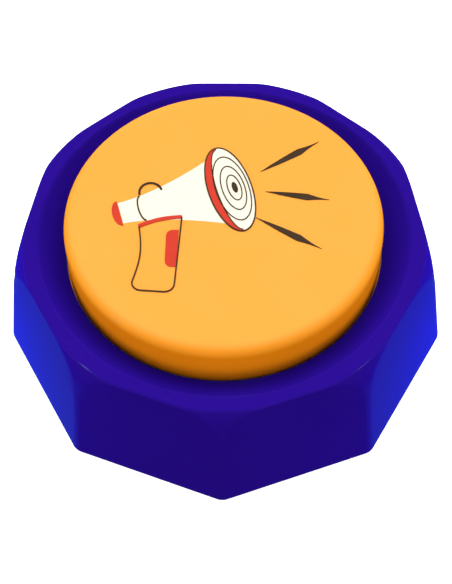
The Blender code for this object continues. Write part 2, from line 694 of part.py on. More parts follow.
# ---------------------------------------------------------------- switch and main board
def make_circuit_board(finishes, assembly):
    half_x, half_y = BOARD_HALF
    outline = []
    for sx, sy, start in ((1, 1, 0), (-1, 1, 90), (-1, -1, 180), (1, -1, 270)):
        centre = (sx * (half_x - BOARD_CORNER), sy * (half_y - BOARD_CORNER))
        outline += [polar(BOARD_CORNER, start + 45 * k, centre) for k in range(3)]
    board = place(prism(outline, BOARD_BOTTOM, BOARD_TOP), "circuit_board", finishes["board"],
                  assembly)
    holes = bmesh.new()
    for centre in BOARD_SCREWS:
        add_screw_hole(holes, BOARD_SCREW, centre, BOARD_BOTTOM - MM, BOARD_TOP + MM)
    use_boolean(board, holes, "board_screw_holes", "DIFFERENCE")
    for number, centre in enumerate(BOARD_SCREWS, 1):
        place(screw(BOARD_SCREW, centre, PART_BOTTOM, -1), f"board_screw_{number}",
              finishes["steel"], assembly)


def make_dome_switch(finishes, assembly):
    """Silicone dome with a flat crown, a thin slanted skirt and a flange that lies on the board."""
    crown = 3.8 * MM
    skirt = 5.2 * MM
    flange = 7.0 * MM
    flange_top = PART_BOTTOM + 0.6 * MM
    edge = 0.5 * MM
    under = DOME_TOP - DOME_WALL
    place(lathe([
        (0, DOME_TOP), (crown - edge, DOME_TOP), (crown, DOME_TOP - edge),
        (skirt, flange_top + edge), (flange, flange_top), (flange, PART_BOTTOM),
        (skirt + edge, PART_BOTTOM), (skirt - DOME_WALL, flange_top),
        (crown - DOME_WALL, under - 0.6 * edge), (crown - 2 * edge, under), (0, under),
    ], steps=20), "dome_switch", finishes["silicone"], assembly)
    pill_radius = 2.4 * MM
    pill_top = under - GAP
    pill = bmesh.new()
    add_rod(pill, (0, 0), pill_radius, pill_top - 0.5 * MM, pill_top, 16)
    place(pill, "contact_pill", finishes["rubber"], assembly)


def make_board_components(finishes, assembly):
    """Potted sound chip and a standing capacitor with the bead of its sleeve near the foot."""
    chip_radius = 3.5 * MM
    chip_height = 1.1 * MM
    chip_arc = [(chip_radius * math.cos(a), PART_BOTTOM + chip_height * math.sin(a))
                for a in (math.radians(30 * k) for k in range(3))]
    chip = lathe([(0, PART_BOTTOM)] + chip_arc + [(0, PART_BOTTOM + chip_height)],
                 (-11.0 * MM, 5.5 * MM), 20)
    place(chip, "sound_chip", finishes["black"], assembly)

    can_radius = 2.4 * MM
    can_top = PART_BOTTOM + 6.5 * MM
    edge = 0.3 * MM
    bead = PART_BOTTOM + 1.0 * MM
    can = lathe([
        (0, can_top), (can_radius - edge, can_top), (can_radius, can_top - edge),
        (can_radius, bead + edge), (can_radius - edge, bead), (can_radius, bead - edge),
        (can_radius, PART_BOTTOM), (0, PART_BOTTOM),
    ], (11.5 * MM, 0), 20)
    place(can, "capacitor", finishes["can"], assembly)


# ---------------------------------------------------------------- speaker
def make_speaker(finishes, assembly):
    sheet = 0.8 * MM
    flange_low = COVER_TOP + 0.4 * MM
    flange_high = flange_low + sheet
    window = 12.6 * MM                # radius of the opening the cone moves in
    neck = 4.5 * MM
    back = 8.4 * MM                   # height of the basket's back
    frame = lathe([
        (window, flange_low), (SPEAKER_RADIUS, flange_low), (SPEAKER_RADIUS, flange_high),
        (window - sheet, flange_high), (neck + 3.0 * MM, back - sheet / 2), (neck, back),
        (neck, back - sheet), (neck + 2.5 * MM, back - 1.4 * sheet),
        (window - 2 * sheet, flange_high - sheet / 4), (window, flange_high - sheet / 4),
    ], SPEAKER, 28, ring=True)
    place(frame, "speaker_frame", finishes["steel"], assembly)

    magnet_radius = 7.5 * MM
    magnet_low = back + GAP
    magnet_top = magnet_low + 2.9 * MM
    pole_radius = neck - 2 * GAP
    pole_low = back - sheet
    magnet = lathe([
        (0, magnet_top), (magnet_radius - GAP, magnet_top), (magnet_radius, magnet_top - GAP),
        (magnet_radius, magnet_low), (pole_radius, magnet_low), (pole_radius, pole_low),
        (0, pole_low),
    ], SPEAKER, 20)
    place(magnet, "speaker_magnet", finishes["steel"], assembly)

    paper = 0.3 * MM
    rise = [(12.2, 3.4), (10.3, 3.6), (5.3, 5.7), (3.9, 6.2), (2.4, 5.5), (0, 5.2)]
    lower = [(r * MM, z * MM) for r, z in rise]
    upper = [(r, z + paper) for r, z in lower[::-1]]
    place(lathe(upper + lower, SPEAKER, 24), "speaker_cone", finishes["paper"], assembly)
    make_speaker_clamp(finishes, assembly)


def make_speaker_clamp(finishes, assembly):
    """Flat ring with two ears that holds the speaker's flange down."""
    outline = eared_outline(SPEAKER_RADIUS + 0.8 * MM, CLAMP_EAR, CLAMP_DISTANCE, CLAMP_ANGLES, 30)
    outline = [(x + SPEAKER[0], y + SPEAKER[1]) for x, y in outline]
    ring = place(prism(outline, CLAMP_BOTTOM, CLAMP_TOP), "speaker_clamp_ring", finishes["steel"],
                 assembly)
    low = CLAMP_BOTTOM - MM
    high = CLAMP_TOP + MM
    cuts = bmesh.new()
    add_rod(cuts, SPEAKER, 12.4 * MM, low, high, 28)
    for degrees in CLAMP_ANGLES:
        add_screw_hole(cuts, CLAMP_SCREW, polar(CLAMP_DISTANCE, degrees, SPEAKER), low, high)
    use_boolean(ring, cuts, "clamp_ring_openings", "DIFFERENCE")
    for number, degrees in enumerate(CLAMP_ANGLES, 1):
        bm = screw(CLAMP_SCREW, polar(CLAMP_DISTANCE, degrees, SPEAKER), CLAMP_TOP + GAP, -1)
        place(bm, f"clamp_screw_{number}", finishes["steel"], assembly)


# ---------------------------------------------------------------- cells and contacts
def across(bm, x_of_top, y, side):
    """Lay a piece turned around +Z along X: its z becomes the distance out from x_of_top."""
    turn = Matrix.Rotation(math.radians(90 * side), 4, "Y")
    bmesh.ops.transform(bm, matrix=Matrix.Translation((x_of_top, y, CELL_Z)) @ turn, verts=bm.verts)
    return bm


def cell_y(number):
    return BAY_Y + (-0.5 if number == 1 else 0.5) * CELL_PITCH


def make_batteries(finishes, assembly):
    body = 2 * CELL_HALF - CELL_NUB
    nub = 1.9 * MM
    nub_edge = 0.2 * MM
    edge = 0.3 * MM
    for number, side in ((1, 1), (2, -1)):
        bm = lathe([
            (0, CELL_NUB), (nub - nub_edge, CELL_NUB), (nub, CELL_NUB - nub_edge), (nub, 0),
            (CELL_RADIUS - edge, 0), (CELL_RADIUS, -edge), (CELL_RADIUS, edge - body),
            (CELL_RADIUS - edge, -body), (0, -body),
        ], steps=20)
        across(bm, side * (CELL_HALF - CELL_NUB), cell_y(number), side)
        place(bm, f"battery_{number}", finishes["cell"], assembly)


def contact_plate(name, side, low_y, high_y, bump_y, finishes, assembly):
    """Sheet-metal contact at one end of the bay, with a pressed cone where it meets a cell's nub."""
    inner = side * CONTACT_X
    outer = side * (CONTACT_X + CONTACT_SHEET)
    bm = box(min(inner, outer), max(inner, outer), low_y, high_y, CONTACT_LOW, CONTACT_HIGH)
    plate = place(bm, name, finishes["steel"], assembly)
    if bump_y is not None:
        height = CONTACT_X - CELL_HALF - GAP
        foot = 2.6 * MM
        sunk = CONTACT_SHEET / 2
        bump = lathe([(0, height), (foot / 2, height), (foot, 0), (foot, -sunk), (0, -sunk)],
                     steps=16)
        across(bump, inner, bump_y, -side)
        use_boolean(plate, bump, name + "_bump", "UNION")


def contact_spring(name, side, y, finishes, assembly):
    """Conical wire spring that presses on the flat end of a cell."""
    wire = 0.25 * MM
    wide = 3.6 * MM
    narrow = 1.6 * MM
    per_turn = 9
    count = 22
    start = CONTACT_X - GAP - wire
    end = CELL_HALF + GAP + wire
    path = []
    for k in range(count + 1):
        share = k / count
        radius = wide + (narrow - wide) * share
        angle = 2 * math.pi * k / per_turn
        path.append((side * (start + (end - start) * share), y + radius * math.cos(angle),
                     CELL_Z + radius * math.sin(angle)))
    place(tube(path, wire, 5), name, finishes["steel"], assembly)


def make_contacts(finishes, assembly):
    first = cell_y(1)
    second = cell_y(2)
    half = 4.7 * MM
    contact_plate("positive_contact_plate", 1, first - half, first + half, first, finishes, assembly)
    contact_plate("negative_contact_plate", 1, second - half, second + half, None, finishes, assembly)
    contact_plate("bridge_contact_plate", -1, first - half, second + half, second, finishes, assembly)
    contact_spring("negative_contact_spring", 1, second, finishes, assembly)
    contact_spring("bridge_contact_spring", -1, first, finishes, assembly)


# ---------------------------------------------------------------- control board under the right side
def make_control_board(finishes, assembly):
    board = place(box(*CONTROL_BOARD), "control_board", finishes["board"], assembly)
    low, high = CONTROL_BOARD[4:]
    holes = bmesh.new()
    for centre in CONTROL_POSTS:
        add_screw_hole(holes, CONTROL_SCREW, centre, low - MM, high + MM)
    use_boolean(board, holes, "control_screw_holes", "DIFFERENCE")
    for number, centre in enumerate(CONTROL_POSTS, 1):
        place(screw(CONTROL_SCREW, centre, high + GAP, -1), f"control_board_screw_{number}",
              finishes["steel"], assembly)


def centred_box(centre, half_x, half_y, low, high):
    x, y = centre
    return box(x - half_x, x + half_x, y - half_y, y + half_y, low, high)


def make_record_key(finishes, assembly):
    """Tact switch on the control board's underside, worked by a key in the bottom cover."""
    switch_half = 3.0 * MM
    high = CONTROL_BOARD[4] - GAP
    body = place(centred_box(KEY, switch_half, switch_half, SWITCH_BOTTOM, high),
                 "record_switch_body", finishes["black"], assembly)
    plunger_radius = 1.6 * MM
    plunger_low = 4.4 * MM
    bore = bmesh.new()
    add_rod(bore, KEY, plunger_radius + GAP, plunger_low, SWITCH_BORE_TOP, 16)
    use_boolean(body, bore, "plunger_bore", "DIFFERENCE")
    plunger = bmesh.new()
    add_rod(plunger, KEY, plunger_radius, plunger_low, plunger_low + plunger_radius, 16)
    place(plunger, "record_switch_plunger", finishes["chassis"], assembly, (*KEY, 0))

    key_low = BASE_Z + 0.2 * MM
    key_top = plunger_low - GAP
    collar = KEY_RADIUS + 1.0 * MM
    edge = 0.3 * MM
    key = lathe([
        (0, key_top), (collar, key_top), (collar, COVER_TOP + GAP), (KEY_RADIUS, COVER_TOP + GAP),
        (KEY_RADIUS, key_low + edge), (KEY_RADIUS - edge, key_low), (0, key_low),
    ], KEY, 24)
    place(key, "record_key", finishes["button"], assembly, (*KEY, 0))


def make_slide_switch(finishes, assembly):
    x, y = SLIDER
    off = (x, y - SLIDER_TRAVEL / 2)
    knob_low = BASE_Z + 0.3 * MM
    knob_high = SWITCH_BOTTOM - 0.4 * MM
    knob_half = (1.5 * MM, 1.8 * MM)
    stem_half = (0.8 * MM, 1.0 * MM)
    body = place(centred_box(SLIDER, 2.2 * MM, 4.25 * MM, SWITCH_BOTTOM, CONTROL_BOARD[4] - GAP),
                 "slide_switch_body", finishes["steel"], assembly)
    slot = centred_box(SLIDER, stem_half[0] + GAP, stem_half[1] + SLIDER_TRAVEL / 2 + GAP,
                       knob_high - MM, SWITCH_BORE_TOP)
    use_boolean(body, slot, "slide_switch_slot", "DIFFERENCE")
    knob = place(centred_box(off, *knob_half, knob_low, knob_high), "slide_switch_knob",
                 finishes["black"], assembly, (*off, 0))
    stem = centred_box(off, *stem_half, knob_high - GAP, SWITCH_BORE_TOP - 0.4 * MM)
    use_boolean(knob, stem, "slide_switch_stem", "UNION")


def make_microphone(finishes, assembly):
    """Electret capsule in a rubber boot that stands on the cover over the sound hole."""
    radius = 3.0 * MM
    low = 5.9 * MM
    high = 8.6 * MM
    edge = 0.2 * MM
    capsule = lathe([(0, high), (radius, high), (radius, low + edge), (radius - edge, low),
                     (0, low)], MICROPHONE, 20)
    place(capsule, "microphone_capsule", finishes["steel"], assembly)
    inner = radius + GAP
    outer = inner + 0.7 * MM
    throat = MICROPHONE_HOLE + edge
    boot = lathe([
        (outer, high - edge), (outer, COVER_TOP + GAP), (throat, COVER_TOP + GAP),
        (throat, low - GAP), (inner, low - GAP), (inner, high - edge),
    ], MICROPHONE, 20, ring=True)
    place(boot, "microphone_boot", finishes["rubber"], assembly)


# ---------------------------------------------------------------- wiring
def wire(name, finish_name, points, finishes, assembly):
    """Insulated wire along a smooth curve through points given in millimetres."""
    path = smooth_path([Vector(point) * MM for point in points])
    place(tube(path, WIRE_RADIUS, 5), name, finishes[finish_name], assembly)


def make_wires(finishes, assembly):
    landing = (PART_BOTTOM + WIRE_RADIUS + 0.1 * MM) / MM
    # The battery wires leave the contact plates, turn up through the bay's roof and the chassis
    # plate, and come down on the board; the last value is the black wire's distance to the red.
    battery_run = [
        (24.1, 13.0, 12.4, 3.4), (23.0, 13.0, 13.3, 2.9), (22.2, 13.0, 14.6, 2.4),
        (22.0, 12.8, 17.2, 2.3), (20.4, 12.2, landing, 2.2), (15.5, 10.5, landing, 2.0),
    ]
    wire("battery_wire_red", "red", [(x, y, z) for x, y, z, _ in battery_run], finishes, assembly)
    wire("battery_wire_black", "dark", [(x, y + apart, z) for x, y, z, apart in battery_run],
         finishes, assembly)
    # Both speaker wires rise behind the magnet and bend forwards over the board's edge.
    speaker_run = [
        (-6.2, 8.8), (-7.6, 12.2), (-15.0, 13.2), (-17.6, 15.0), (-16.8, landing - 0.4),
        (-12.3, landing),
    ]
    for number, finish_name, x in ((1, "red", -2.0), (2, "dark", 2.0)):
        wire(f"speaker_wire_{number}", finish_name, [(x, y, z) for y, z in speaker_run],
             finishes, assembly)


def make_control_ribbon(finishes, assembly):
    """Flat cable from the control board up through the chassis plate to the main board."""
    low = CONTROL_BOARD[5] + GAP
    high = PART_BOTTOM + 0.2 * MM
    bend = 0.2 * MM
    outer = RIBBON_X + RIBBON_THICKNESS
    start = 23.5 * MM
    end = BOARD_HALF[0] - 3.0 * MM
    section = [
        (start, low), (start, low + RIBBON_THICKNESS), (outer + bend, low + RIBBON_THICKNESS),
        (outer, low + RIBBON_THICKNESS + bend), (outer, high + RIBBON_THICKNESS - bend),
        (outer - bend, high + RIBBON_THICKNESS), (end, high + RIBBON_THICKNESS), (end, high),
        (RIBBON_X, high), (RIBBON_X, low),
    ]
    bm = bmesh.new()
    near = [bm.verts.new((x, RIBBON_Y[0], z)) for x, z in section]
    far = [bm.verts.new((x, RIBBON_Y[1], z)) for x, z in section]
    bm.faces.new(near[::-1])
    bm.faces.new(far)
    for k in range(len(section)):
        j = (k + 1) % len(section)
        bm.faces.new((near[k], near[j], far[j], far[k]))
    place(bm, "control_ribbon", finishes["ribbon"], assembly)


def main():
    clear_scene()
    finishes = make_finishes()
    assembly = bpy.data.objects.new("button_axis", None)
    assembly.location = (0, AXIS_Y, 0)
    bpy.context.scene.collection.objects.link(assembly)
    for make in (
        make_outer_housing, make_button_cap, make_return_springs, make_chassis_plate,
        make_chassis_screws, make_bottom_cover, make_cover_screws, make_rubber_feet,
        make_battery_door, make_circuit_board, make_dome_switch, make_board_components,
        make_speaker, make_batteries, make_contacts, make_control_board, make_record_key,
        make_slide_switch, make_microphone, make_wires, make_control_ribbon,
    ):
        make(finishes, assembly)


main()
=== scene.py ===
"""Looks of the quiz buzzer: fine moulded surfaces, printed button, finishes, studio and camera."""

import json
from math import atan2, cos, pi, radians, sin, sqrt, tan

import bmesh
import bpy
from mathutils import Matrix, Vector


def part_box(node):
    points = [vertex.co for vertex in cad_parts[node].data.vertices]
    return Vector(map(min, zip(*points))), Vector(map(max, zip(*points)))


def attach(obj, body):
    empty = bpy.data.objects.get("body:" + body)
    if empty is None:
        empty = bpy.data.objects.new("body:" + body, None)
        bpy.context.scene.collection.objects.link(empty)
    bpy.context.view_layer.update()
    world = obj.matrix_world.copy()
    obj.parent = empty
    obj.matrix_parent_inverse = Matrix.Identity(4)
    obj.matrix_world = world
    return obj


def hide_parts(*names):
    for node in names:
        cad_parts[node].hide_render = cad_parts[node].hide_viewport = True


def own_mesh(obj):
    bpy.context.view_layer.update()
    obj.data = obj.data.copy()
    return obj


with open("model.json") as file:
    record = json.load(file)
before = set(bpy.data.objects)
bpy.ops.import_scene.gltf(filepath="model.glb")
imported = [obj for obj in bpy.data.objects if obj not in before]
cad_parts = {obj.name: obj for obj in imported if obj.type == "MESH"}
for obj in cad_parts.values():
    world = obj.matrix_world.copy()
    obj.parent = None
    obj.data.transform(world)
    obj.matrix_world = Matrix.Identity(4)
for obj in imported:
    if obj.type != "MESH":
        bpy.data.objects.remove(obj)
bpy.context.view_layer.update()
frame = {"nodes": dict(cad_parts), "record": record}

MM = 0.001

# -------- sizes taken from the frame
SHELL_LOW, SHELL_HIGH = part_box("outer_housing")
CAP_LOW, CAP_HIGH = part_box("button_cap")
AXIS = Vector(((CAP_LOW.x + CAP_HIGH.x) / 2, (CAP_LOW.y + CAP_HIGH.y) / 2, 0))
BASE_Z = SHELL_LOW.z
RIM_Z = SHELL_HIGH.z
APOTHEM = SHELL_HIGH.y - AXIS.y
FLANGE_RADIUS = (CAP_HIGH.x - CAP_LOW.x) / 2
FLANGE_BOTTOM = CAP_LOW.z
FLANGE_TOP = FLANGE_BOTTOM + 1.4 * MM
CAP_TOP = CAP_HIGH.z
CAP_RADIUS = FLANGE_RADIUS - 1.85 * MM
CAP_INNER = CAP_RADIUS - 1.95 * MM
CAP_UNDER = CAP_TOP - 2 * MM
CAP_FILLET = 2.3 * MM
LIP_RADIUS = CAP_RADIUS + 0.35 * MM
LIP_BOTTOM = FLANGE_TOP + 0.3 * MM
LIP_TOP = LIP_BOTTOM + 2.6 * MM
RIM_OUTER = APOTHEM - 3.66 * MM
RIM_INNER = RIM_OUTER - 2.45 * MM
CEILING = RIM_Z - 3.5 * MM
SHELF_Z = BASE_Z + 2.3 * MM  # shoulder inside the wall that the bottom cover stops at

SIDES = 9
SECTOR = 360 / SIDES
SIDE_MIDDLES = [-90 + SECTOR * (side + 0.5) for side in range(SIDES)]  # one corner points forwards
DRAFT = tan(radians(8.6))
SHOULDER_RADIUS = 9.25 * MM
CORNER_ROUND = 3.2 * MM
BOTTOM_EDGE = 0.3 * MM
RIM_EDGE = 0.35 * MM
CREASE = 0.35 * MM  # softness of the line between a flat side and the shoulder

# -------- screws, springs and their posts
BOSS_DISTANCE = 36.4 * MM  # screw posts of the housing, from the button's axis
CHASSIS_ANGLES = (-50, 70, 190)
COVER_ANGLES = (-90, 30, 150)
CHASSIS_POST = 2.6 * MM
COVER_POST = 2.8 * MM
CHASSIS_BORE = 1.1 * MM
COVER_BORE = 1.3 * MM
RIB_HALF = 0.6 * MM  # half thickness of the ribs
SPRING_ANGLES = (90, 210, 330)
SPRING_DISTANCE = 25 * MM
THREAD_PITCH = 0.6 * MM

# -------- cover and door
COVER_TOP = SHELF_Z - 0.3 * MM
COVER_REACH = APOTHEM - 2.3 * MM
COVER_ROOT = COVER_TOP - 0.5 * MM  # raised features start inside the plate
EDGE = 0.25 * MM  # rounding of moulded edges on the underside
BAY_Y = 15 * MM
BAY_HALF = (25.5 * MM, 11.2 * MM)
BAY_WALL = 1.2 * MM
BAY_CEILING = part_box("bottom_cover")[1].z - 0.8 * MM
DOOR_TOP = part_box("battery_door")[1].z
DOOR_EAR = (28.8 * MM, 9.5 * MM)
WIRE_HOLE = (21.5 * MM, 14.25 * MM)
SPEAKER = (0.0, -16.5 * MM)
SPEAKER_RING = (15.3 * MM, 14.3 * MM)
CLAMP_DISTANCE = 17.3 * MM
CLAMP_ANGLES = (45, 225)
CONTROL_POSTS = ((19.7 * MM, -0.8 * MM), (33 * MM, -3.4 * MM))
CONTROL_BOARD_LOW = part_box("control_board")[0].z
GRILLE_PITCH = 3.9 * MM
SCREW_SINK = 1.2 * MM  # depth of the counterbores of the cover's screws
FLAT_SHARP = 15  # keeps the chamfers around large flat faces from shading them
CURVED_SHARP = 28  # for the shell and the button

# -------- printed picture
INK = 0.04 * MM  # each printed layer stands this much higher than the one below
INK_ROOT = CAP_TOP - 0.5 * INK
LINE = 0.27 * MM  # width of the thin printed lines
HORN_MOUTH = (1.2, 6.0)  # picture points are millimetres from the button's axis
HORN_TILT = 16.0
HORN_LENGTH = 22.0
HORN_NECK = 2.5  # half width of the horn's narrow end
MOUTH = (4.3, 10.5)
MOUTH_INSIDE = (MOUTH[0] - 1.7, MOUTH[1] - 0.35)
GRIP_TOP = ((-16.2, -3.1), (-8.0, -0.9))
GRIP_BOTTOM = ((-16.9, -16.0), (-8.9, -16.3))
GRIP_ROUND = 1.8
JOINT_ALONG = -17.5  # places behind the mouth
LOOP_ALONG = -15.2
SOUND_MARKS = (((7.2, 10.2), (19.0, 17.9)), ((8.2, 5.3), (20.6, 3.3)), ((6.3, -1.0), (18.8, -8.3)))

# -------- studio and camera
WHITE = (1, 1, 1)
AZURE = (0, 0.3, 1)
GLOW_BLUE = (0, 0.42, 1)
FLOOR_REACH = 4.0
LENS = 75.45
EYE = (4.60 * MM, -140.36 * MM, 224.92 * MM)  # from the button's axis at floor level
EYE_YAW = 1.8045
EYE_DOWN = 57.409
EYE_ROLL = -1.2636


# -------- mesh helpers
def new_object(name, data):
    thing = bpy.data.objects.new(name, data)
    bpy.context.scene.collection.objects.link(thing)
    return thing


def mesh_object(bm, name, material):
    mesh = bpy.data.meshes.new(name)
    bm.to_mesh(mesh)
    bm.free()
    if material:
        mesh.materials.append(material)
    return new_object(name, mesh)


def smooth(mesh, sharp):
    mesh.shade_smooth()
    mesh.set_sharp_from_angle(angle=radians(sharp))


def finish_mesh(bm, name, material, sharp=35):
    """Object from a bmesh given in button-axis coordinates, smooth apart from its sharp edges."""
    bmesh.ops.recalc_face_normals(bm, faces=bm.faces)
    bmesh.ops.translate(bm, vec=AXIS, verts=bm.verts)
    piece = mesh_object(bm, name, material)
    smooth(piece.data, sharp)
    return piece


def apply_boolean(piece, bm, operation, sharp):
    """Cut or join a closed bmesh, and keep the result as the piece's own mesh."""
    tool = finish_mesh(bm, "tool", None)
    boolean = piece.modifiers.new("boolean", "BOOLEAN")
    boolean.operation = operation
    boolean.solver = "EXACT"
    boolean.object = tool
    bpy.context.view_layer.update()
    evaluated = piece.evaluated_get(bpy.context.evaluated_depsgraph_get())
    result = bpy.data.meshes.new_from_object(evaluated)
    piece.modifiers.clear()
    piece.data = result
    smooth(result, sharp)
    bpy.data.objects.remove(tool, do_unlink=True)


def join(piece, bm, sharp=35):
    apply_boolean(piece, bm, "UNION", sharp)


def cut(piece, bm, sharp=35):
    apply_boolean(piece, bm, "DIFFERENCE", sharp)


def solid(add, *shape):
    """Closed bmesh that holds one shape, drawn by one of the add_ functions."""
    bm = bmesh.new()
    add(bm, *shape)
    return bm


def polar(distance, degrees, centre=(0, 0)):
    angle = radians(degrees)
    return (centre[0] + distance * cos(angle), centre[1] + distance * sin(angle))


def add_lathe(bm, profile, centre=(0, 0), steps=64, ring=False):
    """Turn (radius, z) points around a vertical axis; a ring profile closes on itself."""
    columns = []
    for radius, z in profile:
        if radius == 0:
            columns.append([bm.verts.new((centre[0], centre[1], z))])
            continue
        columns.append([
            bm.verts.new((*polar(radius, 360 * k / steps, centre), z)) for k in range(steps)
        ])
    pairs = list(zip(columns, columns[1:]))
    if ring:
        pairs.append((columns[-1], columns[0]))
    for upper, lower in pairs:
        for k in range(steps):
            after = (k + 1) % steps
            corners = [upper[k % len(upper)], upper[after % len(upper)],
                       lower[after % len(lower)], lower[k % len(lower)]]
            bm.faces.new(list(dict.fromkeys(corners)))


def add_rod(bm, centre, radius, low, high, steps=24):
    add_lathe(bm, [(0, high), (radius, high), (radius, low), (0, low)], centre, steps)


def add_rods(bm, distance, angles, radius, low, high, centre=(0, 0), steps=24):
    """Equal upright rods at several angles around a centre."""
    for degrees in angles:
        add_rod(bm, polar(distance, degrees, centre), radius, low, high, steps)


def add_skin(bm, rings, closed=False):
    """Faces between neighbouring rings of vertices; a closed skin joins the last to the first."""
    for here, after in zip(rings, rings[1:] + rings[:1] if closed else rings[1:]):
        for k in range(len(here)):
            j = (k + 1) % len(here)
            bm.faces.new((here[k], here[j], after[j], after[k]))


def add_loft(bm, rings):
    """Closed body through rings of vertices, with flat ends."""
    bm.faces.new(rings[0][::-1])
    bm.faces.new(rings[-1])
    add_skin(bm, rings)


def add_layers(bm, layers):
    """Closed body through (outline, z) layers."""
    add_loft(bm, [[bm.verts.new((x, y, z)) for x, y in outline] for outline, z in layers])


def add_prism(bm, outline, low, high):
    add_layers(bm, [(outline, low), (outline, high)])


def turned_piece(name, profile, centre, material, steps=64, sharp=35):
    return finish_mesh(solid(add_lathe, profile, centre, steps), name, material, sharp)


def arc(centre, radius, start, end, steps):
    """Points on an arc, degrees counted from the first coordinate's direction to the second's."""
    return [polar(radius, start + (end - start) * k / steps, centre) for k in range(steps + 1)]


def blend_points(start, corner, end, steps):
    """Quadratic curve that rounds a corner of a profile."""
    points = []
    for k in range(steps + 1):
        t = k / steps
        points.append(tuple((1 - t) ** 2 * a + 2 * t * (1 - t) * b + t * t * c
                            for a, b, c in zip(start, corner, end)))
    return points


# -------- shell surface
def flat_side(apothem, z, turn):
    """Distance from the axis to a drafted side with rounded upright corners."""
    reach = apothem - (z - BASE_Z) * DRAFT
    half = radians(SECTOR / 2)
    spread = half - abs(radians(turn))
    pivot = (reach - CORNER_ROUND) / cos(half)
    tangent = atan2(CORNER_ROUND * sin(half), pivot + CORNER_ROUND * cos(half))
    if spread >= tangent:
        return reach / cos(radians(turn))
    return pivot * cos(spread) + sqrt(CORNER_ROUND ** 2 - (pivot * sin(spread)) ** 2)


def shoulder(z):
    reach = SHOULDER_RADIUS * sin(radians(45))
    height = z - RIM_Z + reach
    return RIM_OUTER - reach + sqrt(max(0.0, SHOULDER_RADIUS ** 2 - height ** 2))


def soft_min(a, b, blend):
    overlap = max(blend - abs(a - b), 0.0) / blend
    return min(a, b) - overlap * overlap * blend / 4


def crease_height(turn):
    """Height where a side runs into the shoulder; at most just under the rim."""
    low = RIM_Z - 5 * MM
    high = RIM_Z - RIM_EDGE - 0.8 * MM
    for _ in range(24):
        middle = (low + high) / 2
        if flat_side(APOTHEM, middle, turn) < shoulder(middle):
            low = middle
        else:
            high = middle
    return low


def spaced(low, high, count):
    return [low + (high - low) * k / count for k in range(count + 1)]


def outer_section(turn):
    """Outside of the shell in one direction, from the bottom edge up to the rim."""
    foot = flat_side(APOTHEM, BASE_Z + BOTTOM_EDGE, turn)
    section = blend_points((foot - BOTTOM_EDGE, BASE_Z), (foot, BASE_Z),
                           (foot, BASE_Z + BOTTOM_EDGE), 4)
    crease = crease_height(turn)
    spread = 0.7 * MM
    top = RIM_Z - RIM_EDGE
    heights = [BASE_Z + 2 * BOTTOM_EDGE]
    heights += spaced(BASE_Z + 1.5 * MM, crease - spread, 8)
    heights += spaced(crease - spread, min(crease + spread, top - 0.2 * MM), 10)[1:]
    heights += spaced(heights[-1], top, 8)[1:]
    for z in heights:
        surface = flat_side(APOTHEM, z, turn)
        if z > crease - 2 * spread:
            surface = soft_min(surface, shoulder(z), CREASE)
        section.append((surface, z))
    edge = section[-1][0]
    corner, end = (edge - 0.15 * MM, RIM_Z), (edge - 0.55 * MM, RIM_Z)
    return section + blend_points((edge, top), corner, end, 5)[1:]


def inner_section(turn):
    """From the rim down the dished recess, round the lip and down the inside of the wall."""
    section = spaced_line((RIM_INNER + MM, RIM_Z), (RIM_INNER + 0.3 * MM, RIM_Z), 2)
    section += blend_points((RIM_INNER + 0.15 * MM, RIM_Z), (RIM_INNER - 0.1 * MM, RIM_Z),
                            (RIM_INNER - 0.3 * MM, RIM_Z - 0.16 * MM), 4)
    section += spaced_line((RIM_INNER - 0.45 * MM, RIM_Z - 0.28 * MM),
                           (LIP_RADIUS + 0.6 * MM, LIP_TOP + 0.1 * MM), 8)
    section += blend_points((LIP_RADIUS + 0.35 * MM, LIP_TOP - 0.1 * MM),
                            (LIP_RADIUS, LIP_TOP - 0.3 * MM), (LIP_RADIUS, LIP_TOP - 0.7 * MM), 4)
    wall = APOTHEM - 2.4 * MM
    rim_wall = APOTHEM - 2 * MM
    section += [
        (LIP_RADIUS, LIP_BOTTOM), (LIP_RADIUS + 2 * MM, LIP_BOTTOM),
        (LIP_RADIUS + 3.6 * MM, CEILING), (flat_side(wall, CEILING, turn), CEILING),
        (flat_side(wall, SHELF_Z, turn), SHELF_Z), (flat_side(rim_wall, SHELF_Z, turn), SHELF_Z),
        (flat_side(rim_wall, BASE_Z, turn), BASE_Z),
    ]
    return section


def spaced_line(start, end, count):
    return [tuple(a + (b - a) * k / count for a, b in zip(start, end)) for k in range(count + 1)]


def shell_turns():
    """Directions across one side, close together around its rounded corners."""
    corner = 1.05
    ramp = [-SECTOR / 2 + corner * k / 4 for k in range(5)] + [-SECTOR / 2 + 1.5 * corner]
    flat = spaced(ramp[-1], -ramp[-1], 22)[1:-1]
    return ramp + flat + [-t for t in ramp[::-1][:-1]]


def make_shell(material):
    bm = bmesh.new()
    columns = []
    for middle in SIDE_MIDDLES:
        for turn in shell_turns():
            section = outer_section(turn) + inner_section(turn)
            columns.append([bm.verts.new((*polar(r, middle + turn), z)) for r, z in section])
    add_skin(bm, columns, closed=True)
    shell = finish_mesh(bm, "shell_moulding", material, CURVED_SHARP)
    add_shell_bosses(shell)
    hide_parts("outer_housing")
    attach(shell, "base")


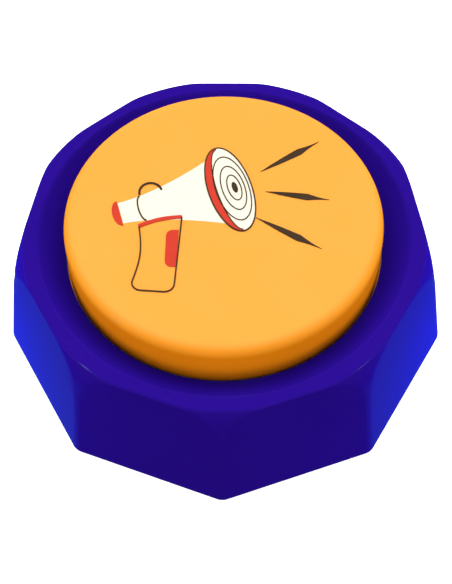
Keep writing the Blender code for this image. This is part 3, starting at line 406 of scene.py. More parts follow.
def add_shell_bosses(shell):
    """Screw posts under the recess, ribs that tie the long ones to the wall, and their holes."""
    top = CEILING + 0.5 * MM
    posts = bmesh.new()
    add_rods(posts, BOSS_DISTANCE, CHASSIS_ANGLES, CHASSIS_POST, RIM_Z - 10.6 * MM, top)
    add_rods(posts, BOSS_DISTANCE, COVER_ANGLES, COVER_POST, SHELF_Z, top)
    join(shell, posts, CURVED_SHARP)
    low = SHELF_Z + 0.7 * MM
    wall = APOTHEM / cos(radians(SECTOR / 2)) - 1.6 * MM
    section = [(BOSS_DISTANCE, low), (wall - (low - BASE_Z) * DRAFT, low),
               (wall - (top - BASE_Z) * DRAFT - MM, top), (BOSS_DISTANCE, top)]
    ribs = bmesh.new()
    for degrees in COVER_ANGLES:
        turn = Matrix.Rotation(radians(degrees), 4, "Z")
        add_loft(ribs, [[ribs.verts.new(turn @ Vector((r, y, z))) for r, z in section]
                        for y in (RIB_HALF, -RIB_HALF)])
    join(shell, ribs, CURVED_SHARP)
    holes = bmesh.new()
    add_rods(holes, BOSS_DISTANCE, CHASSIS_ANGLES, CHASSIS_BORE, RIM_Z - 11 * MM, top - 1.2 * MM)
    add_rods(holes, BOSS_DISTANCE, COVER_ANGLES, COVER_BORE, BASE_Z + 2 * MM, 12 * MM)
    cut(shell, holes, CURVED_SHARP)


# -------- button
def make_button(material):
    """Push button with a rounded top edge, a flange, spring sleeves and a striker for the dome."""
    profile = [(0, CAP_TOP), (10 * MM, CAP_TOP), (20 * MM, CAP_TOP), (27 * MM, CAP_TOP),
               (CAP_RADIUS - CAP_FILLET - 0.3 * MM, CAP_TOP)]
    profile += arc((CAP_RADIUS - CAP_FILLET, CAP_TOP - CAP_FILLET), CAP_FILLET, 90, 0, 12)
    profile += spaced_line((CAP_RADIUS, CAP_TOP - CAP_FILLET - 0.4 * MM),
                           (CAP_RADIUS, FLANGE_TOP + 0.4 * MM), 5)
    profile += blend_points((CAP_RADIUS, FLANGE_TOP + 0.2 * MM), (CAP_RADIUS, FLANGE_TOP),
                            (CAP_RADIUS + 0.2 * MM, FLANGE_TOP), 3)
    profile += [
        (FLANGE_RADIUS, FLANGE_TOP), (FLANGE_RADIUS, FLANGE_BOTTOM), (CAP_INNER, FLANGE_BOTTOM),
        (CAP_INNER, CAP_UNDER), (20 * MM, CAP_UNDER), (0, CAP_UNDER),
    ]
    cap = turned_piece("button_moulding", profile, (0, 0), material, 192, CURVED_SHARP)
    root = CAP_TOP - MM
    boss_low = FLANGE_BOTTOM + 2 * MM
    under = solid(add_rods, SPRING_DISTANCE, SPRING_ANGLES, 2.6 * MM, boss_low, root)
    add_rod(under, (0, 0), 3 * MM, boss_low + 0.8 * MM, root)
    join(cap, under, CURVED_SHARP)
    bores = solid(add_rods, SPRING_DISTANCE, SPRING_ANGLES, 1.8 * MM, boss_low - MM,
                  CAP_UNDER - 2 * MM)
    cut(cap, bores, CURVED_SHARP)
    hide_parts("button_cap")
    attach(cap, "button")
    cap.visible_glossy = False
    cap.visible_diffuse = False


# -------- cover, door and what is in them
def centre_of(node):
    """Middle of a CAD node's box, counted from the button's axis."""
    low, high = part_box(node)
    return ((low.x + high.x) / 2 - AXIS.x, (low.y + high.y) / 2 - AXIS.y)


def round_box(centre, half_x, half_y, radius, steps=6):
    """Outline of a rectangle with rounded corners."""
    x, y = centre
    outline = []
    for sx, sy, start in ((1, 1, 0), (-1, 1, 90), (-1, -1, 180), (1, -1, 270)):
        corner = (x + sx * (half_x - radius), y + sy * (half_y - radius))
        outline += arc(corner, radius, start, start + 90, steps)
    return outline


def door_outline(inset):
    """Rectangle with rounded corners and a round ear for the screw."""
    right = BAY_HALF[0] - 0.3 * MM - inset
    half_y = BAY_HALF[1] - 0.3 * MM - inset
    ear = arc(DOOR_EAR, 3 * MM - inset, -90, 90, 24)
    corners = round_box((0, BAY_Y), right, half_y, 0.6 * MM - inset)
    quarter = len(corners) // 4
    upper, left = corners[:quarter], corners[quarter:3 * quarter]
    return corners[3 * quarter:] + [(right, ear[0][1])] + ear + [(right, ear[-1][1])] + upper + left


def cover_outline(inset):
    return [polar(flat_side(COVER_REACH - inset, BASE_Z, turn), middle + turn)
            for middle in SIDE_MIDDLES for turn in shell_turns()]


def bevelled_plate(name, outline, top, material):
    """Plate with a rounded lower edge; outline(inset) gives its shape."""
    layers = [(outline(EDGE), BASE_Z), (outline(0.3 * EDGE), BASE_Z + 0.3 * EDGE),
              (outline(0), BASE_Z + EDGE), (outline(0), top)]
    return finish_mesh(solid(add_layers, layers), name, material, FLAT_SHARP)


def add_flared_hole(bm, centre, radius, high, steps=32):
    """Cutter for a hole whose outer edge on the underside is rounded off."""
    below = BASE_Z - 0.02 * MM
    add_lathe(bm, [(0, high), (radius, high), (radius, BASE_Z + EDGE),
                   (radius + 0.3 * EDGE, BASE_Z + 0.3 * EDGE), (radius + EDGE, below), (0, below)],
              centre, steps)


def make_cover(material):
    """Flat base with battery bay, speaker ring and posts, and what is cut out of it."""
    cover = bevelled_plate("cover_moulding", cover_outline, COVER_TOP, material)
    outer = (BAY_HALF[0] + BAY_WALL, BAY_HALF[1] + BAY_WALL)
    raised = solid(add_prism, round_box((0, BAY_Y), *outer, 1.4 * MM), COVER_ROOT,
                   BAY_CEILING + 0.8 * MM)
    clamp_top = COVER_TOP + 1.4 * MM
    add_rods(raised, CLAMP_DISTANCE, CLAMP_ANGLES, 2 * MM, COVER_ROOT, clamp_top, SPEAKER)
    for centre in CONTROL_POSTS:
        add_rod(raised, centre, 1.7 * MM, COVER_ROOT, CONTROL_BOARD_LOW - 0.3 * MM)
    outside, inside = SPEAKER_RING
    add_lathe(raised, [(outside, COVER_TOP + MM), (outside, COVER_ROOT), (inside, COVER_ROOT),
                       (inside, COVER_TOP + MM)], SPEAKER, 96, ring=True)
    recesses = bmesh.new()
    for number in range(1, 5):
        add_rod(recesses, centre_of(f"rubber_foot_{number}"), 3.8 * MM, 0, BASE_Z + 0.5 * MM, 64)
    add_rods(recesses, BOSS_DISTANCE, COVER_ANGLES, 2.6 * MM, 0, BASE_Z + SCREW_SINK, steps=48)
    boss = solid(add_rod, DOOR_EAR, 3.4 * MM, COVER_ROOT, COVER_TOP + 4.5 * MM)
    bay = solid(add_prism, round_box((0, BAY_Y), *BAY_HALF, 0.4 * MM), 0, BAY_CEILING)
    pocket = solid(add_prism, door_outline(-0.3 * MM), 0, DOOR_TOP + 0.3 * MM)
    for shape in (raised, boss):
        join(cover, shape, FLAT_SHARP)
    for shape in (bay, pocket, cover_holes(), recesses):
        cut(cover, shape, FLAT_SHARP)
    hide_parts("bottom_cover")
    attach(cover, "base")


def cover_holes():
    """Sound holes, screw holes, and the openings for key, slide switch, microphone and wires."""
    high = COVER_TOP + 2 * MM
    holes = bmesh.new()
    for ring, count in enumerate((1, 6, 12)):
        for k in range(count):
            centre = polar(GRILLE_PITCH * ring, 360 * k / count, SPEAKER)
            add_flared_hole(holes, centre, 1.05 * MM, high)
    add_rods(holes, BOSS_DISTANCE, COVER_ANGLES, COVER_BORE, 0, high)
    add_rods(holes, CLAMP_DISTANCE, CLAMP_ANGLES, MM, 1.7 * MM, high + 0.2 * MM, SPEAKER)
    for centre in CONTROL_POSTS:
        add_rod(holes, centre, 0.9 * MM, COVER_TOP + 1.5 * MM, CONTROL_BOARD_LOW)
    add_rod(holes, DOOR_EAR, 1.1 * MM, DOOR_TOP, 7 * MM)
    add_flared_hole(holes, centre_of("record_key"), 3.3 * MM, high, 64)
    add_flared_hole(holes, centre_of("microphone_capsule"), 0.8 * MM, high)
    slot = round_box(centre_of("slide_switch_body"), 1.9 * MM, 3.2 * MM, 0.4 * MM)
    add_prism(holes, slot, 0, high)
    add_prism(holes, round_box(WIRE_HOLE, 2.5 * MM, 2.75 * MM, 0.5 * MM),
              BAY_CEILING - MM, BAY_CEILING + 2 * MM)
    return holes


def make_door(material):
    """Battery door with a bevelled edge, thumb grooves and a counterbored hole for its screw."""
    door = bevelled_plate("door_moulding", door_outline, DOOR_TOP, material)
    cuts = solid(add_rod, DOOR_EAR, 1.1 * MM, 0, DOOR_TOP + MM)
    for k in range(5):
        groove = round_box(((-19.55 + 2.0 * k) * MM, BAY_Y), 0.45 * MM, 5 * MM, 0.44 * MM)
        add_prism(cuts, groove, 0, BASE_Z + 0.5 * MM)
    cut(door, cuts, FLAT_SHARP)
    sink = solid(add_rod, DOOR_EAR, 2.3 * MM, 0, BASE_Z + 0.9 * MM, 48)
    cut(door, sink, FLAT_SHARP)
    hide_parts("battery_door")
    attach(door, "battery_door")


def make_feet(material):
    """Rubber feet with a rounded tread edge and a shallow hollow in the middle."""
    for number in range(1, 5):
        node = f"rubber_foot_{number}"
        low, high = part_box(node)
        radius = (high.x - low.x) / 2
        edge = 0.35 * MM
        hollow = low.z + 0.15 * MM
        profile = [(0, high.z), (radius, high.z), (radius, low.z + edge)]
        profile += arc((radius - edge, low.z + edge), edge, 0, -90, 6)[1:]
        profile += [(0.55 * radius, low.z), (0.5 * radius, hollow), (0, hollow)]
        foot = turned_piece(f"foot_{number}", profile, centre_of(node), material)
        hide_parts(node)
        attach(foot, "base")


def make_key(material):
    """Record key with a dished face and a collar that keeps it in the cover."""
    low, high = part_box("record_key")
    collar = (high.x - low.x) / 2
    collar_low = COVER_TOP + 0.3 * MM
    radius = collar - MM
    edge = 0.4 * MM
    profile = [(0, high.z), (collar, high.z), (collar, collar_low), (radius, collar_low),
               (radius, low.z + edge)]
    profile += arc((radius - edge, low.z + edge), edge, 0, -90, 6)[1:]
    profile += [(0.7 * radius, low.z + 0.02 * MM), (0.4 * radius, low.z + 0.2 * MM),
                (0, low.z + 0.26 * MM)]
    key = turned_piece("key_moulding", profile, centre_of("record_key"), material)
    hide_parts("record_key")
    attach(key, "record_key")


def make_knob(material):
    """Slide switch knob with a ribbed face."""
    low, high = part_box("slide_switch_knob")
    centre = centre_of("slide_switch_knob")
    half_x = (high.x - low.x) / 2
    half_y = (high.y - low.y) / 2
    top = low.z + 3.5 * MM
    edge = 0.2 * MM
    body = solid(add_layers, [
        (round_box(centre, half_x - edge, half_y - edge, edge), low.z),
        (round_box(centre, half_x, half_y, 2 * edge), low.z + edge),
        (round_box(centre, half_x, half_y, 2 * edge), top)])
    knob = finish_mesh(body, "knob_moulding", material)
    stem = solid(add_prism, round_box(centre, 0.8 * MM, MM, edge), top - 0.3 * MM, high.z)
    join(knob, stem)
    grooves = bmesh.new()
    for k in range(-1, 2):
        groove = round_box((centre[0], centre[1] + 0.9 * MM * k), 2 * half_x, 0.2 * MM, 0.1 * MM)
        add_prism(grooves, groove, 0, low.z + 0.35 * MM)
    cut(knob, grooves)
    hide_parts("slide_switch_knob")
    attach(knob, "slide_knob")


# -------- screws, springs and cells
def make_screws(material):
    """Screws by number, height of the head, radius of the shank and the way they are driven."""
    kinds = {
        "cover_screw": (3, 0.8 * MM, MM, 1),
        "chassis_screw": (3, 0.8 * MM, 0.8 * MM, 1),
        "board_screw": (2, 0.9 * MM, 0.7 * MM, -1),
        "clamp_screw": (2, 0.9 * MM, 0.7 * MM, -1),
        "control_board_screw": (2, 0.9 * MM, 0.6 * MM, -1),
    }
    for kind, (count, *shape) in kinds.items():
        for number in range(1, count + 1):
            make_screw(f"{kind}_{number}", *shape, "base", material)
    make_screw("battery_door_screw", 0.5 * MM, 0.8 * MM, 1, "battery_door", material)


def make_screw(node, head_height, shank, way, body, material):
    """Pan-head screw with a cross recess and the crests of its thread."""
    low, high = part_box(node)
    head, tip = (low.z, high.z) if way > 0 else (high.z, low.z)
    seat = head + way * head_height
    radius = (high.x - low.x) / 2
    crests = int((abs(tip - seat) - 1.5 * shank) / THREAD_PITCH)
    profile = [(0, head), (0.55 * radius, head + way * 0.04 * head_height),
               (0.85 * radius, head + way * 0.25 * head_height),
               (radius, head + way * 0.6 * head_height), (radius, seat), (shank, seat)]
    for k in range(crests):
        profile += [(0.8 * shank, seat + way * (k + 0.5) * THREAD_PITCH),
                    (shank, seat + way * (k + 1) * THREAD_PITCH)]
    profile += [(0.6 * shank, tip - way * shank), (0, tip)]
    screw = turned_piece(node + "_turned", profile, centre_of(node), material, 32)
    bite = sorted((head - way * 0.2 * MM, head + way * 0.55 * head_height))
    arm = (0.6 * radius, 0.13 * radius)
    for half_x, half_y in (arm, arm[::-1]):
        slit = round_box(centre_of(node), half_x, half_y, 0.02 * MM, 2)
        cut(screw, solid(add_prism, slit, *bite))
    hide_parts(node)
    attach(screw, body)


def tube(path, radius, sides=12):
    """Round section swept along a path, with flat ends."""
    bm = bmesh.new()
    across = None
    rings = []
    for k, point in enumerate(path):
        ahead = (path[min(k + 1, len(path) - 1)] - path[max(k - 1, 0)]).normalized()
        start = across or ahead.orthogonal()
        across = (start - start.dot(ahead) * ahead).normalized()
        other = ahead.cross(across)
        rings.append([bm.verts.new(point + radius * (across * cos(a) + other * sin(a)))
                      for a in (2 * pi * s / sides for s in range(sides))])
    add_loft(bm, rings)
    return bm


def squash_with_button(piece):
    """Gives the piece a mesh of its own."""
    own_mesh(piece)


def make_springs(material):
    """Compression springs with closed end turns."""
    wire = 0.27 * MM
    radius = 3.2 * MM
    per_turn = 32
    turns = 6
    for number, degrees in enumerate(SPRING_ANGLES, 1):
        node = f"return_spring_{number}"
        low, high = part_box(node)
        bottom, top = low.z + wire, high.z - wire
        centre = polar(SPRING_DISTANCE, degrees)
        path = []
        for k in range(turns * per_turn + 1):
            turn = k / per_turn
            share = min(max((turn - 0.75) / (turns - 1.5), 0), 1)
            closed = 2.1 * wire * (min(turn, 0.75) + max(turn - turns + 0.75, 0))
            rise = bottom + closed + (top - bottom - 2.1 * wire * 1.5) * share
            path.append(Vector((*polar(radius, 360 * turn, centre), rise)))
        spring = finish_mesh(tube(path, wire), f"spring_coil_{number}", material, 60)
        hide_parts(node)
        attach(spring, "base")
        squash_with_button(spring)


def make_dome(material):
    """Silicone dome with rounded crown, thin skirt and flange."""
    low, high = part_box("dome_switch")
    foot, top = low.z, high.z
    flange = (high.x - low.x) / 2
    profile = [(0, top), (3 * MM, top)]
    profile += arc((3.2 * MM, top - 0.6 * MM), 0.6 * MM, 90, 10, 6)
    profile += blend_points((4.1 * MM, top - 1.4 * MM), (4.9 * MM, foot + 0.8 * MM),
                            (flange - 0.9 * MM, foot + 0.6 * MM), 8)
    profile += [(flange - 0.1 * MM, foot + 0.6 * MM), (flange, foot + 0.5 * MM), (flange, foot),
                (flange - 1.4 * MM, foot), (4.4 * MM, foot + 0.6 * MM), (3.1 * MM, top - 1.3 * MM),
                (2.7 * MM, top - 0.8 * MM), (0, top - 0.8 * MM)]
    dome = turned_piece("dome_moulding", profile, (0, 0), material)
    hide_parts("dome_switch")
    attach(dome, "base")
    squash_with_button(dome)


def make_cells(wrap, metal):
    """Cells with a shrink-wrapped can, a rolled shoulder, a steel nub and an insulating ring."""
    for number, side in ((1, 1), (2, -1)):
        node = f"battery_{number}"
        low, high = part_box(node)
        radius = (high.z - low.z) / 2
        length = high.x - low.x
        nub = MM
        body = length - nub
        edge = 0.5 * MM
        profile = [(0, -body + 0.1 * MM), (radius - edge - 0.3 * MM, -body + 0.1 * MM),
                   (radius - edge - 0.2 * MM, -body)]
        profile += arc((radius - edge, edge - body), edge, -90, 0, 6)
        profile += arc((radius - edge, -edge), edge, 0, 90, 6)
        profile += [(radius - 1.4 * MM, 0), (radius - 1.6 * MM, -0.25 * MM), (0, -0.25 * MM)]
        cap = [(0, -0.3 * MM), (2.6 * MM, -0.3 * MM), (2.6 * MM, -0.1 * MM), (1.9 * MM, 0)]
        cap += arc((1.6 * MM, nub - 0.3 * MM), 0.3 * MM, 0, 90, 5) + [(0, nub)]
        turn = Matrix.Rotation(radians(90 * side), 4, "Y")
        seat = (side * (length / 2 - nub), centre_of(node)[1], (low.z + high.z) / 2)
        for outline, name, material in ((profile, "wrap", wrap), (cap, "nub", metal)):
            bm = solid(add_lathe, outline)
            bmesh.ops.transform(bm, matrix=Matrix.Translation(seat) @ turn, verts=bm.verts)
            piece = finish_mesh(bm, f"cell_{name}_{number}", material)
            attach(piece, "base")
            if name == "wrap":
                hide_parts(node)


def make_contact_springs(material):
    """Conical springs that press on the flat ends of the cells."""
    wire = 0.25 * MM
    turns = 2.5
    count = 80
    for node, side in (("negative_contact_spring", 1), ("bridge_contact_spring", -1)):
        low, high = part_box(node)
        outer, inner = (high.x, low.x) if side > 0 else (low.x, high.x)
        start = outer - side * wire
        end = inner + side * wire
        y = centre_of(node)[1]
        middle = (low.z + high.z) / 2
        wide = (high.z - low.z) / 2 - wire
        path = []
        for k in range(count + 1):
            share = k / count
            radius = wide * (1 - 0.55 * share)
            angle = 360 * turns * share
            path.append(Vector((start + (end - start) * share, *polar(radius, angle, (y, middle)))))
        spring = finish_mesh(tube(path, wire), node + "_coil", material, 60)
        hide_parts(node)
        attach(spring, "base")


# -------- printed picture
def on_horn(along, across):
    """Point given along and across the horn, counted from the middle of its mouth."""
    turn = radians(HORN_TILT)
    return (HORN_MOUTH[0] + along * cos(turn) - across * sin(turn),
            HORN_MOUTH[1] + along * sin(turn) + across * cos(turn))


def horn_half(along):
    """Half width of the flared horn at a place behind its mouth."""
    return HORN_NECK + (MOUTH[1] - 1.2 - HORN_NECK) * (1 + along / HORN_LENGTH) ** 1.6


def ellipse(half_x, half_y, start=0, end=360, steps=72, offset=0.0):
    """Points of an ellipse around the mouth; a full turn leaves out the repeated last point."""
    count = steps if end - start == 360 else steps + 1
    angles = [radians(start + (end - start) * k / steps) for k in range(count)]
    return [on_horn(offset + half_x * cos(a), half_y * sin(a)) for a in angles]


def bow(start, end, bulge, steps=12):
    """Shallow curve between two points that bulges to the left of the way it goes."""
    a = Vector(start)
    b = Vector(end)
    across = Vector((a.y - b.y, b.x - a.x)).normalized()
    return [tuple(a.lerp(b, k / steps) + across * bulge * sin(pi * k / steps))
            for k in range(steps + 1)]


def add_ink(bm, outline, layer):
    """Filled shape in one printed layer, rooted just under the plastic's surface."""
    outline = [(x * MM, y * MM) for x, y in outline]
    add_prism(bm, outline, INK_ROOT, CAP_TOP + INK * layer)


def add_line(bm, points, layer, width=LINE, closed=False):
    """Line of constant width through points, as one filled ribbon."""
    path = [Vector(p) * MM for p in points]
    count = len(path)
    sides = ([], [])
    for k, point in enumerate(path):
        before = path[k - 1] if closed or k else 2 * point - path[1]
        after = path[(k + 1) % count] if closed or k < count - 1 else 2 * point - path[k - 1]
        into = (point - before).normalized()
        out = (after - point).normalized()
        along = (into + out).normalized()
        across = Vector((-along.y, along.x))
        reach = width / 2 / max(0.6, along.dot(out))
        sides[0].append(point + across * reach)
        sides[1].append(point - across * reach)
    low, high = INK_ROOT, CAP_TOP + INK * layer
    rows = [[bm.verts.new((p.x, p.y, z)) for p in side]
            for side, z in ((sides[0], low), (sides[0], high), (sides[1], high), (sides[1], low))]
    for k in range(count if closed else count - 1):
        j = (k + 1) % count
        for here, there in zip(rows, rows[1:] + rows[:1]):
            bm.faces.new((here[k], here[j], there[j], there[k]))
    if not closed:
        bm.faces.new([row[0] for row in rows])
        bm.faces.new([row[-1] for row in rows][::-1])


def ink_piece(name, bm, material):
    piece = finish_mesh(bm, name, material, 40)
    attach(piece, "button")


def make_horn_fill(material):
    bm = bmesh.new()
    alongs = spaced(-HORN_LENGTH, -0.6, 16)
    body = [on_horn(u, horn_half(u)) for u in alongs]
    body += [on_horn(u, -horn_half(u)) for u in alongs[::-1]]
    add_ink(bm, body, 1)
    add_ink(bm, ellipse(*MOUTH), 2)
    ink_piece("print_horn", bm, material)


def make_red_print(material):
    """Rim of the mouth, end cap, mounting bar and trigger."""
    bm = bmesh.new()
    outside = ellipse(*MOUTH, 92, 268, 40)
    inside = ellipse(*MOUTH_INSIDE, 92, 268, 40)[::-1]
    add_ink(bm, outside + inside, 3)
    back = HORN_LENGTH + 0.1
    cap = [on_horn(-back, HORN_NECK + 0.5)]
    cap += [on_horn(-back - 1.5 * sin(a), (HORN_NECK + 0.5) * cos(a))
            for a in (pi * k / 12 for k in range(1, 12))]
    cap += [on_horn(-back, -HORN_NECK - 0.5)]
    add_ink(bm, cap, 3)
    add_line(bm, bow(*GRIP_TOP, 0.5), 4, 0.8 * MM)
    trigger = [(-8.5, -4.0)] + arc((-9.6, -5.3), 1.3, 90, 180, 4)
    trigger += arc((-9.6, -11.2), 1.3, 180, 270, 4) + [(-8.7, -12.5)]
    add_ink(bm, trigger, 3)
    ink_piece("print_red", bm, material)


def make_line_print(material):
    """Outlines: mouth rings, end joint, grip and carrying loop."""
    bm = bmesh.new()
    add_line(bm, ellipse(*MOUTH), 4, closed=True)
    add_line(bm, ellipse(*MOUTH_INSIDE, 92, 268, 40), 4, 0.8 * LINE)
    for shrink, shift in ((0.76, 0.45), (0.52, 0.7), (0.3, 0.9)):
        rings = ellipse(MOUTH[0] * shrink, MOUTH[1] * shrink, 0, 360, 64, shift)
        add_line(bm, rings, 4, 0.8 * LINE, closed=True)
    add_ink(bm, ellipse(0.55, 1.35, 0, 360, 24, 1.0), 4)

    reach = 0.98 * horn_half(JOINT_ALONG)
    joint = [on_horn(JOINT_ALONG - 0.9 * cos(a), reach * sin(a))
             for a in (radians(-90 + 15 * k) for k in range(13))]
    add_line(bm, joint, 4)

    left = bow(GRIP_TOP[0], GRIP_BOTTOM[0], 0.9)
    right = bow(GRIP_BOTTOM[1], GRIP_TOP[1], 0.0)
    (x_left, y_left), (x_right, y_right) = GRIP_BOTTOM
    corner_left = arc((x_left + GRIP_ROUND, y_left), GRIP_ROUND, 180, 270, 4)[1:]
    corner_right = arc((x_right - GRIP_ROUND, y_right), GRIP_ROUND, 270, 360, 4)[:-1]
    add_line(bm, left + corner_left + corner_right + right, 4)

    root = horn_half(LOOP_ALONG) - 0.2
    loop = [on_horn(LOOP_ALONG - 2.2 * cos(a), root + 2.3 * sin(a))
            for a in (pi * k / 14 for k in range(15))]
    add_line(bm, loop, 4, 1.6 * LINE)
    ink_piece("print_lines", bm, material)


def make_sound_marks(material):
    """Three strokes that leave the mouth, widest two thirds of the way out."""
    bm = bmesh.new()
    for start, end in SOUND_MARKS:
        widest = Vector(start).lerp(Vector(end), 0.66)
        along = (Vector(end) - Vector(start)).normalized()
        across = Vector((-along.y, along.x)) * 0.75
        outline = bow(start, widest - across, -0.1) + bow(widest - across, end, 0.12)[1:-1]
        outline += bow(end, widest + across, 0.12) + bow(widest + across, start, -0.1)[1:-1]
        add_ink(bm, outline, 3)
    ink_piece("print_sound_marks", bm, material)


def make_picture(inks):
    """A plain loudhailer: flared horn, grip with a trigger, and sound strokes."""
    make_horn_fill(inks["cream"])
    make_red_print(inks["red"])
    make_line_print(inks["brown"])
    make_sound_marks(inks["brown"])


# -------- materials
def new_material(name):
    material = bpy.data.materials.new(name)
    material.use_nodes = True
    return material, material.node_tree, material.node_tree.nodes["Principled BSDF"]


def feed(tree, node, inputs):
    """Give each input its plain value, or link it to another node's output."""
    for name, value in inputs.items():
        if isinstance(value, bpy.types.NodeSocket):
            tree.links.new(value, node.inputs[name])
        else:
            node.inputs[name].default_value = value


def add_node(tree, kind, inputs, **settings):
    node = tree.nodes.new("ShaderNode" + kind)
    for name, value in settings.items():
        setattr(node, name, value)
    feed(tree, node, inputs)
    return node


def object_place(tree):
    """Point on the object, in its own metres."""
    return add_node(tree, "TexCoord", {}).outputs["Object"]


def noise(tree, scale, detail=3.0, stretch=(1, 1, 1)):
    mapping = add_node(tree, "Mapping", {"Vector": object_place(tree), "Scale": stretch})
    texture = add_node(tree, "TexNoise", {"Vector": mapping.outputs["Vector"], "Scale": scale,
                                          "Detail": detail})
    return texture.outputs["Fac"]


def mix_colours(tree, factor, first, second):
    """Blend of two colours, each (r, g, b) or another node's output."""
    a, b = ((*colour, 1) if isinstance(colour, tuple) else colour for colour in (first, second))
    mix = add_node(tree, "Mix", {"Factor": factor, "A": a, "B": b}, data_type="RGBA")
    return mix.outputs["Result"]


def ramp(tree, value, start, end, low=0.0, high=1.0, way="SMOOTHSTEP"):
    """low at start and high at end."""
    inputs = {"Value": value, "From Min": start, "From Max": end, "To Min": low, "To Max": high}
    return add_node(tree, "MapRange", inputs, interpolation_type=way).outputs["Result"]


def uneven(tree, scale, low, high, stretch=(1, 1, 1)):
    """Roughness that drifts between two values."""
    return ramp(tree, noise(tree, scale, 3.0, stretch), 0.3, 0.7, low, high, "LINEAR")


def texture_normal(tree, scale, depth, stretch=(1, 1, 1)):
    """Fine moulded, rolled or woven texture."""
    inputs = {"Strength": 0.5, "Distance": depth, "Height": noise(tree, scale, 2.0, stretch)}
    return add_node(tree, "Bump", inputs).outputs["Normal"]


def object_height(tree):
    return add_node(tree, "SeparateXYZ", {"Vector": object_place(tree)}).outputs["Z"]


def axis_distance(tree):
    level = add_node(tree, "VectorMath", {0: object_place(tree), 1: (1, 1, 0), 2: -AXIS},
                     operation="MULTIPLY_ADD")
    length = add_node(tree, "VectorMath", {0: level.outputs["Vector"]}, operation="LENGTH")
    return length.outputs["Value"]


def surface(name, dark, light, roughness=(0.35, 0.5), grain=60.0, bump_grain=1500.0,
            bump=0.01 * MM, metallic=0.0, coat=0.0, specular=0.5, stretch=(1, 1, 1)):
    """A moulded, rolled or coated surface: slow colour drift, uneven gloss and a fine texture."""
    material, tree, shader = new_material(name)
    feed(tree, shader, {
        "Metallic": metallic, "Specular IOR Level": specular,
        "Coat Weight": coat, "Coat Roughness": 0.08,
        "Base Color": mix_colours(tree, noise(tree, grain, 4.0, stretch), dark, light),
        "Roughness": uneven(tree, grain * 6, *roughness, stretch),
        "Normal": texture_normal(tree, bump_grain, bump, stretch),
    })
    return material


def shell_material():
    """Glossy blue plastic, with a painted highlight on the rim's edges and painted shade down in
    the recess.
    """
    material, tree, shader = new_material("blue_abs")
    drift = noise(tree, 60, 4.0)
    plastic = mix_colours(tree, drift, (0.0190, 0.0033, 0.228), (0.0218, 0.0038, 0.260))
    # painted highlight: paler blue for the rim's rounded edges
    edge_highlight = mix_colours(tree, drift, (0.022, 0.0048, 0.255), (0.026, 0.006, 0.285))
    # painted shade: darker blue for the recess
    recess = mix_colours(tree, drift, (0.0112, 0.0019, 0.134), (0.0130, 0.0023, 0.154))
    height = object_height(tree)
    # band just under the rim's top that gets the painted highlight
    rising = ramp(tree, height, RIM_Z - 0.5 * MM, RIM_Z - 0.25 * MM)
    edge = ramp(tree, height, RIM_Z - 0.01 * MM, RIM_Z - 0.15 * MM, 0.0, rising)
    # the painted shade grows from the rim's inner edge to the lip and stays full nearer the axis
    recess_shade = ramp(tree, axis_distance(tree), RIM_INNER + 0.3 * MM, LIP_RADIUS)
    outside = mix_colours(tree, edge, plastic, edge_highlight)
    feed(tree, shader, {
        "Specular IOR Level": 0.01, "Coat Weight": 0.03, "Coat Roughness": 0.04,
        "Base Color": mix_colours(tree, recess_shade, outside, recess),
        "Roughness": uneven(tree, 360, 0.10, 0.16),
        "Normal": texture_normal(tree, 700, 0.003 * MM),
    })
    return material


def button_material():
    """Orange plastic: a painted sheen makes the flat top pale yellow, and painted shade turns it
    bright orange over the rounded edge and deeper orange down the wall.
    """
    material, tree, shader = new_material("yellow_abs")
    drift = noise(tree, 70, 4.0)
    # painted sheen: pale yellow for the flat top
    top = mix_colours(tree, drift, (0.89, 0.352, 0.052), (0.95, 0.384, 0.066))
    # painted shade: bright orange for the rounded edge
    edge = mix_colours(tree, drift, (0.97, 0.325, 0.020), (1.0, 0.355, 0.026))
    # painted shade: deeper orange for the wall
    body = mix_colours(tree, drift, (0.86, 0.240, 0.004), (0.92, 0.260, 0.006))
    height = object_height(tree)
    # the painted shade lightens from the wall up the rounded edge
    low = ramp(tree, height, CAP_TOP - CAP_FILLET, CAP_TOP - 0.3 * CAP_FILLET)
    # the painted sheen fades in over the top of the rounded edge
    high = ramp(tree, height, CAP_TOP - 0.34 * CAP_FILLET, CAP_TOP)
    feed(tree, shader, {
        "Specular IOR Level": 0.0, "Coat Weight": 0.02, "Coat Roughness": 0.04,
        "Base Color": mix_colours(tree, high, mix_colours(tree, low, body, edge), top),
        "Roughness": uneven(tree, 400, 0.12, 0.2),
        "Normal": texture_normal(tree, 1400, 0.002 * MM),
    })
    return material


